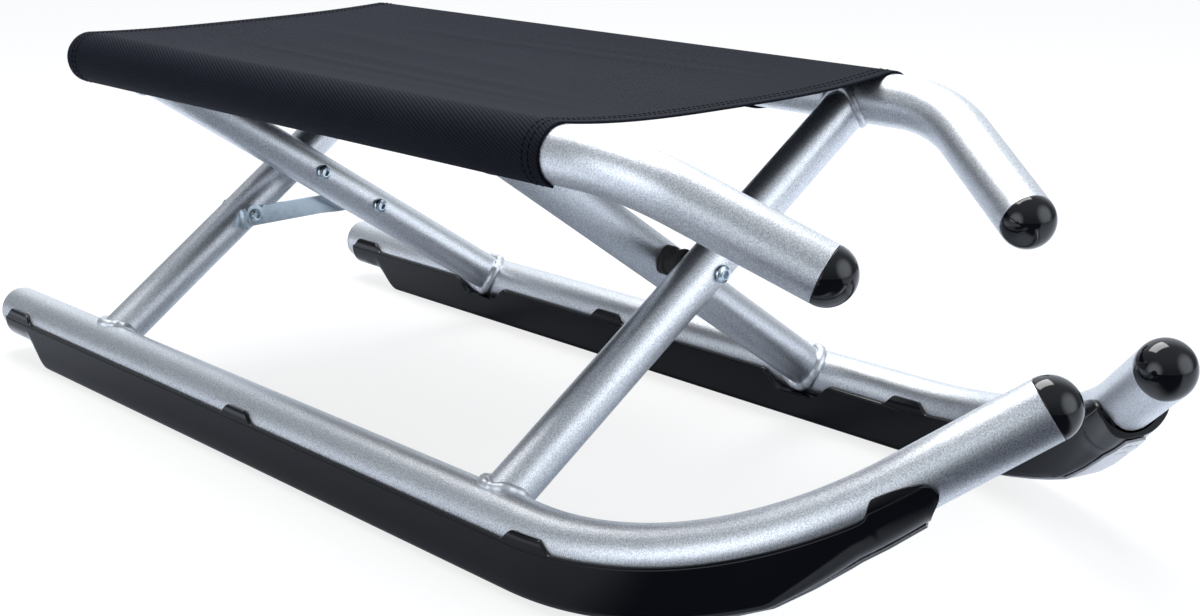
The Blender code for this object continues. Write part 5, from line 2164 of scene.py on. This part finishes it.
@dataclass(frozen=True)
class Studio:
    """White floor, overhead soft box, umbrellas and the photograph's camera.

    The pairs of a flag and of the painted shade are the places where they fade in or out; side_flag_flare is
    where its outer edge starts and stops to move out, and how far.
    """

    camera_place: Triple = (0.9330, -0.7992, 0.4463)
    camera_forward: Triple = (-0.7103, 0.6481, -0.2747)
    camera_roll: float = math.radians(-0.42)
    lens: float = 54.495
    sensor: float = 36.0
    floor_size: float = 12.0
    floor_drop: float = 0.0004
    floor_colour: Colour = (0.82, 0.82, 0.82)
    floor_glow: float = 0.80
    floor_shade: float = 1.3
    floor_grain: float = 3.0
    floor_grain_share: float = 0.985
    floor_bounce: Colour = (0.96, 1.0, 1.08)
    flag_and_shade_colour: Colour = (0.045, 0.05, 0.065)
    side_flag: Span = (-0.215, -0.190)
    side_flag_end: float = -0.31
    side_flag_fade: float = 0.04
    side_flag_rear: float = 0.54
    side_flag_full: Span = (0.21, 0.27)
    side_flag_flare: Triple = (-0.10, 0.15, 0.30)
    # Painted shade: the floor under the seat, inside the far shoe, is darkened for reflections.
    far_painted_shade: tuple[float, float, float, float] = (0.045, 0.070, 0.150, 0.168)
    far_painted_shade_end: Span = (0.20, 0.40)
    far_painted_shade_share: float = 0.5
    front_flag: Span = (0.42, 0.54)
    front_flag_end: Span = (0.0, 0.10)
    box_place: Triple = (-0.45, 0.25, 1.70)
    box_aim: Triple = (0.0, 0.0, 0.12)
    box_size: Span = (1.35, 1.05)
    box_power: float = 32.0
    room_colour: Colour = (0.88, 0.94, 1.0)
    room_base: float = 0.23
    room_rise: float = 0.30
    umbrellas: tuple[Umbrella, ...] = (
        Umbrella((-0.15, -0.96, 0.12), 34.0, 5.0, 2.3),
        Umbrella((0.86, 0.36, 0.36), 38.0, 6.0, 2.15),
        Umbrella((-0.55, 0.70, 0.40), 50.0, 12.0, 0.8),
    )

    def camera(self) -> None:
        """Places the camera as the photograph's was."""
        forward = Vector(self.camera_forward).normalized()
        level = forward.cross(UP).normalized()
        upward = level.cross(forward)
        right = level * math.cos(self.camera_roll) + upward * math.sin(self.camera_roll)
        above = right.cross(forward)
        data = bpy.data.cameras.new("photo_camera")
        data.lens = self.lens
        data.sensor_width = self.sensor
        data.sensor_fit = "HORIZONTAL"
        camera = in_scene("photo_camera", data)
        turn = Matrix((right, above, -forward)).transposed().to_4x4()
        camera.matrix_world = Matrix.Translation(self.camera_place) @ turn
        bpy.context.scene.camera = camera

    def soft_box(self) -> None:
        """Overhead area light, whose outline shows as a window in the gloss of the caps."""
        data = bpy.data.lights.new("overhead_box", "AREA")
        data.shape = "RECTANGLE"
        data.size, data.size_y = self.box_size
        data.energy = self.box_power
        aim = Vector(self.box_aim) - Vector(self.box_place)
        turn = aim.to_track_quat("-Z", "Y").to_matrix().to_4x4()
        in_scene("overhead_box", data).matrix_world = Matrix.Translation(self.box_place) @ turn

    def flags_and_painted_shade(self, board: Board, place: Wire) -> Wire:
        """Works out the dark patches: a flag beside and one ahead of the near shoe, painted shade within the
        far one.

        Args:
            board: The floor's tree.
            place: The place on the floor.

        Returns:
            Share of the dark colour of the flag and the painted shade, from 0 to 1.
        """
        along = board.dot(place, ALONG)
        across = board.dot(place, (0.0, 1.0, 0.0))
        rear, front, width = self.side_flag_flare
        edge = self.side_flag_end - board.smooth(along, rear, front) * width
        full = board.smooth(along, *self.side_flag_full)
        beside = board.smooth(across - edge, -self.side_flag_fade, 0.0)
        beside = beside * (1.0 - board.smooth(across, *self.side_flag))
        beside = beside * (full * (1.0 - self.side_flag_rear) + self.side_flag_rear)
        ahead = board.smooth(along, *self.front_flag) * (1.0 - board.smooth(across, *self.front_flag_end))
        # Painted shade of the floor under the seat, inside the far shoe, seen only in reflections.
        inner, inner_full, outer_full, outer = self.far_painted_shade
        far = board.smooth(across, inner, inner_full) * (1.0 - board.smooth(across, outer_full, outer))
        far = far * (1.0 - board.smooth(along, *self.far_painted_shade_end)) * self.far_painted_shade_share
        return board.math("MAXIMUM", board.math("MAXIMUM", beside, ahead), far)

    def floor(self) -> None:
        """Pale floor that shows white to the camera but keeps the sled's shadow.

        Dark patches lie on it for reflections only, because the gloss of the shoes is dark in the photograph:
        a flag beside and one ahead of the near shoe, and painted shade of the floor under the seat inside the
        far shoe.
        """
        half = self.floor_size / 2
        signs = ((-1, -1), (1, -1), (1, 1), (-1, 1))
        corners = [Vector((x * half, y * half, -self.floor_drop)) for x, y in signs]
        floor = mesh_piece("studio_floor", corners, [(0, 1, 2, 3)])
        made = bpy.data.materials.new("studio_floor")
        made.use_nodes = True
        board = Board(made.node_tree)
        place = board.place()
        grain = board.noise(place, self.floor_grain, 2.0)
        bright = tuple(c * bounce for c, bounce in zip(self.floor_colour, self.floor_bounce))
        pale = board.mix(grain, bright, tuple(c * self.floor_grain_share for c in bright))
        # The floor's colour takes the flag and the painted shade, for reflections only.
        tone = board.mix(self.flags_and_painted_shade(board, place), pale, self.flag_and_shade_colour)
        paper = board.wire("ShaderNodeBsdfDiffuse", None, {"Color": tone})
        faint = tuple(c * (1.0 - self.floor_glow) * self.floor_shade for c in self.floor_colour)
        thin = board.wire("ShaderNodeBsdfDiffuse", None, {"Color": (*faint, 1.0)})
        glow = board.wire("ShaderNodeEmission", None, {"Strength": self.floor_glow})
        seen = board.wire("ShaderNodeAddShader", None, {0: thin, 1: glow})
        camera_ray = board.wire("ShaderNodeLightPath", None, None, "Is Camera Ray")
        mixed = board.wire("ShaderNodeMixShader", None, {0: camera_ray, 1: paper, 2: seen})
        board.node("ShaderNodeOutputMaterial", None, {"Surface": mixed})
        floor.data.materials.append(made)

    def world(self) -> None:
        """White to the camera; to the sled, a dim room with umbrellas at both sides and behind."""
        made = bpy.data.worlds.new("studio_room")
        made.use_nodes = True
        board = Board(made.node_tree)
        direction = board.wire("ShaderNodeTexCoord", None, None, "Generated")
        level = board.smooth(board.dot(direction, UP), 0.0, 1.0) * self.room_rise + self.room_base
        for light in self.umbrellas:
            inside = board.dot(direction, Vector(light.axis).normalized())
            edge, core = math.cos(math.radians(light.edge)), math.cos(math.radians(light.core))
            level = level + board.smooth(inside, edge, core) * light.strength
        camera_ray = board.wire("ShaderNodeLightPath", None, None, "Is Camera Ray")
        strength = level + (1.0 - level) * camera_ray
        tint = board.mix(camera_ray, self.room_colour, (1.0, 1.0, 1.0))
        sky = board.wire("ShaderNodeBackground", None, {"Color": tint, "Strength": strength})
        board.node("ShaderNodeOutputWorld", None, {"Surface": sky})
        bpy.context.scene.world = made

    def build(self) -> None:
        """Makes the studio."""
        self.camera()
        self.soft_box()
        self.floor()
        self.world()
        bpy.context.scene.view_settings.view_transform = "Standard"


def main() -> None:
    """Builds the studio and the sled, sub-assembly by sub-assembly."""
    logging.basicConfig(level=logging.INFO, format="%(name)s: %(message)s")
    Studio().build()
    welds = weld_tree()
    outer = TubeFrame(Side.OUTER, 0.653, front_leg=(0.616, 0.629), rear_leg=(0.146, 0.1505))
    inner = TubeFrame(Side.INNER, 0.659, front_leg=(0.568, 0.582), rear_leg=(0.202, 0.167))
    for tube_frame in (outer, inner):
        tube_frame.build(welds)
        RunnerShoe(tube_frame).build()
    Fasteners().build()
    LockStrut().build()
    SeatCloth((outer, inner)).build(stitch_tree())


if __name__ == "__main__":
    main()
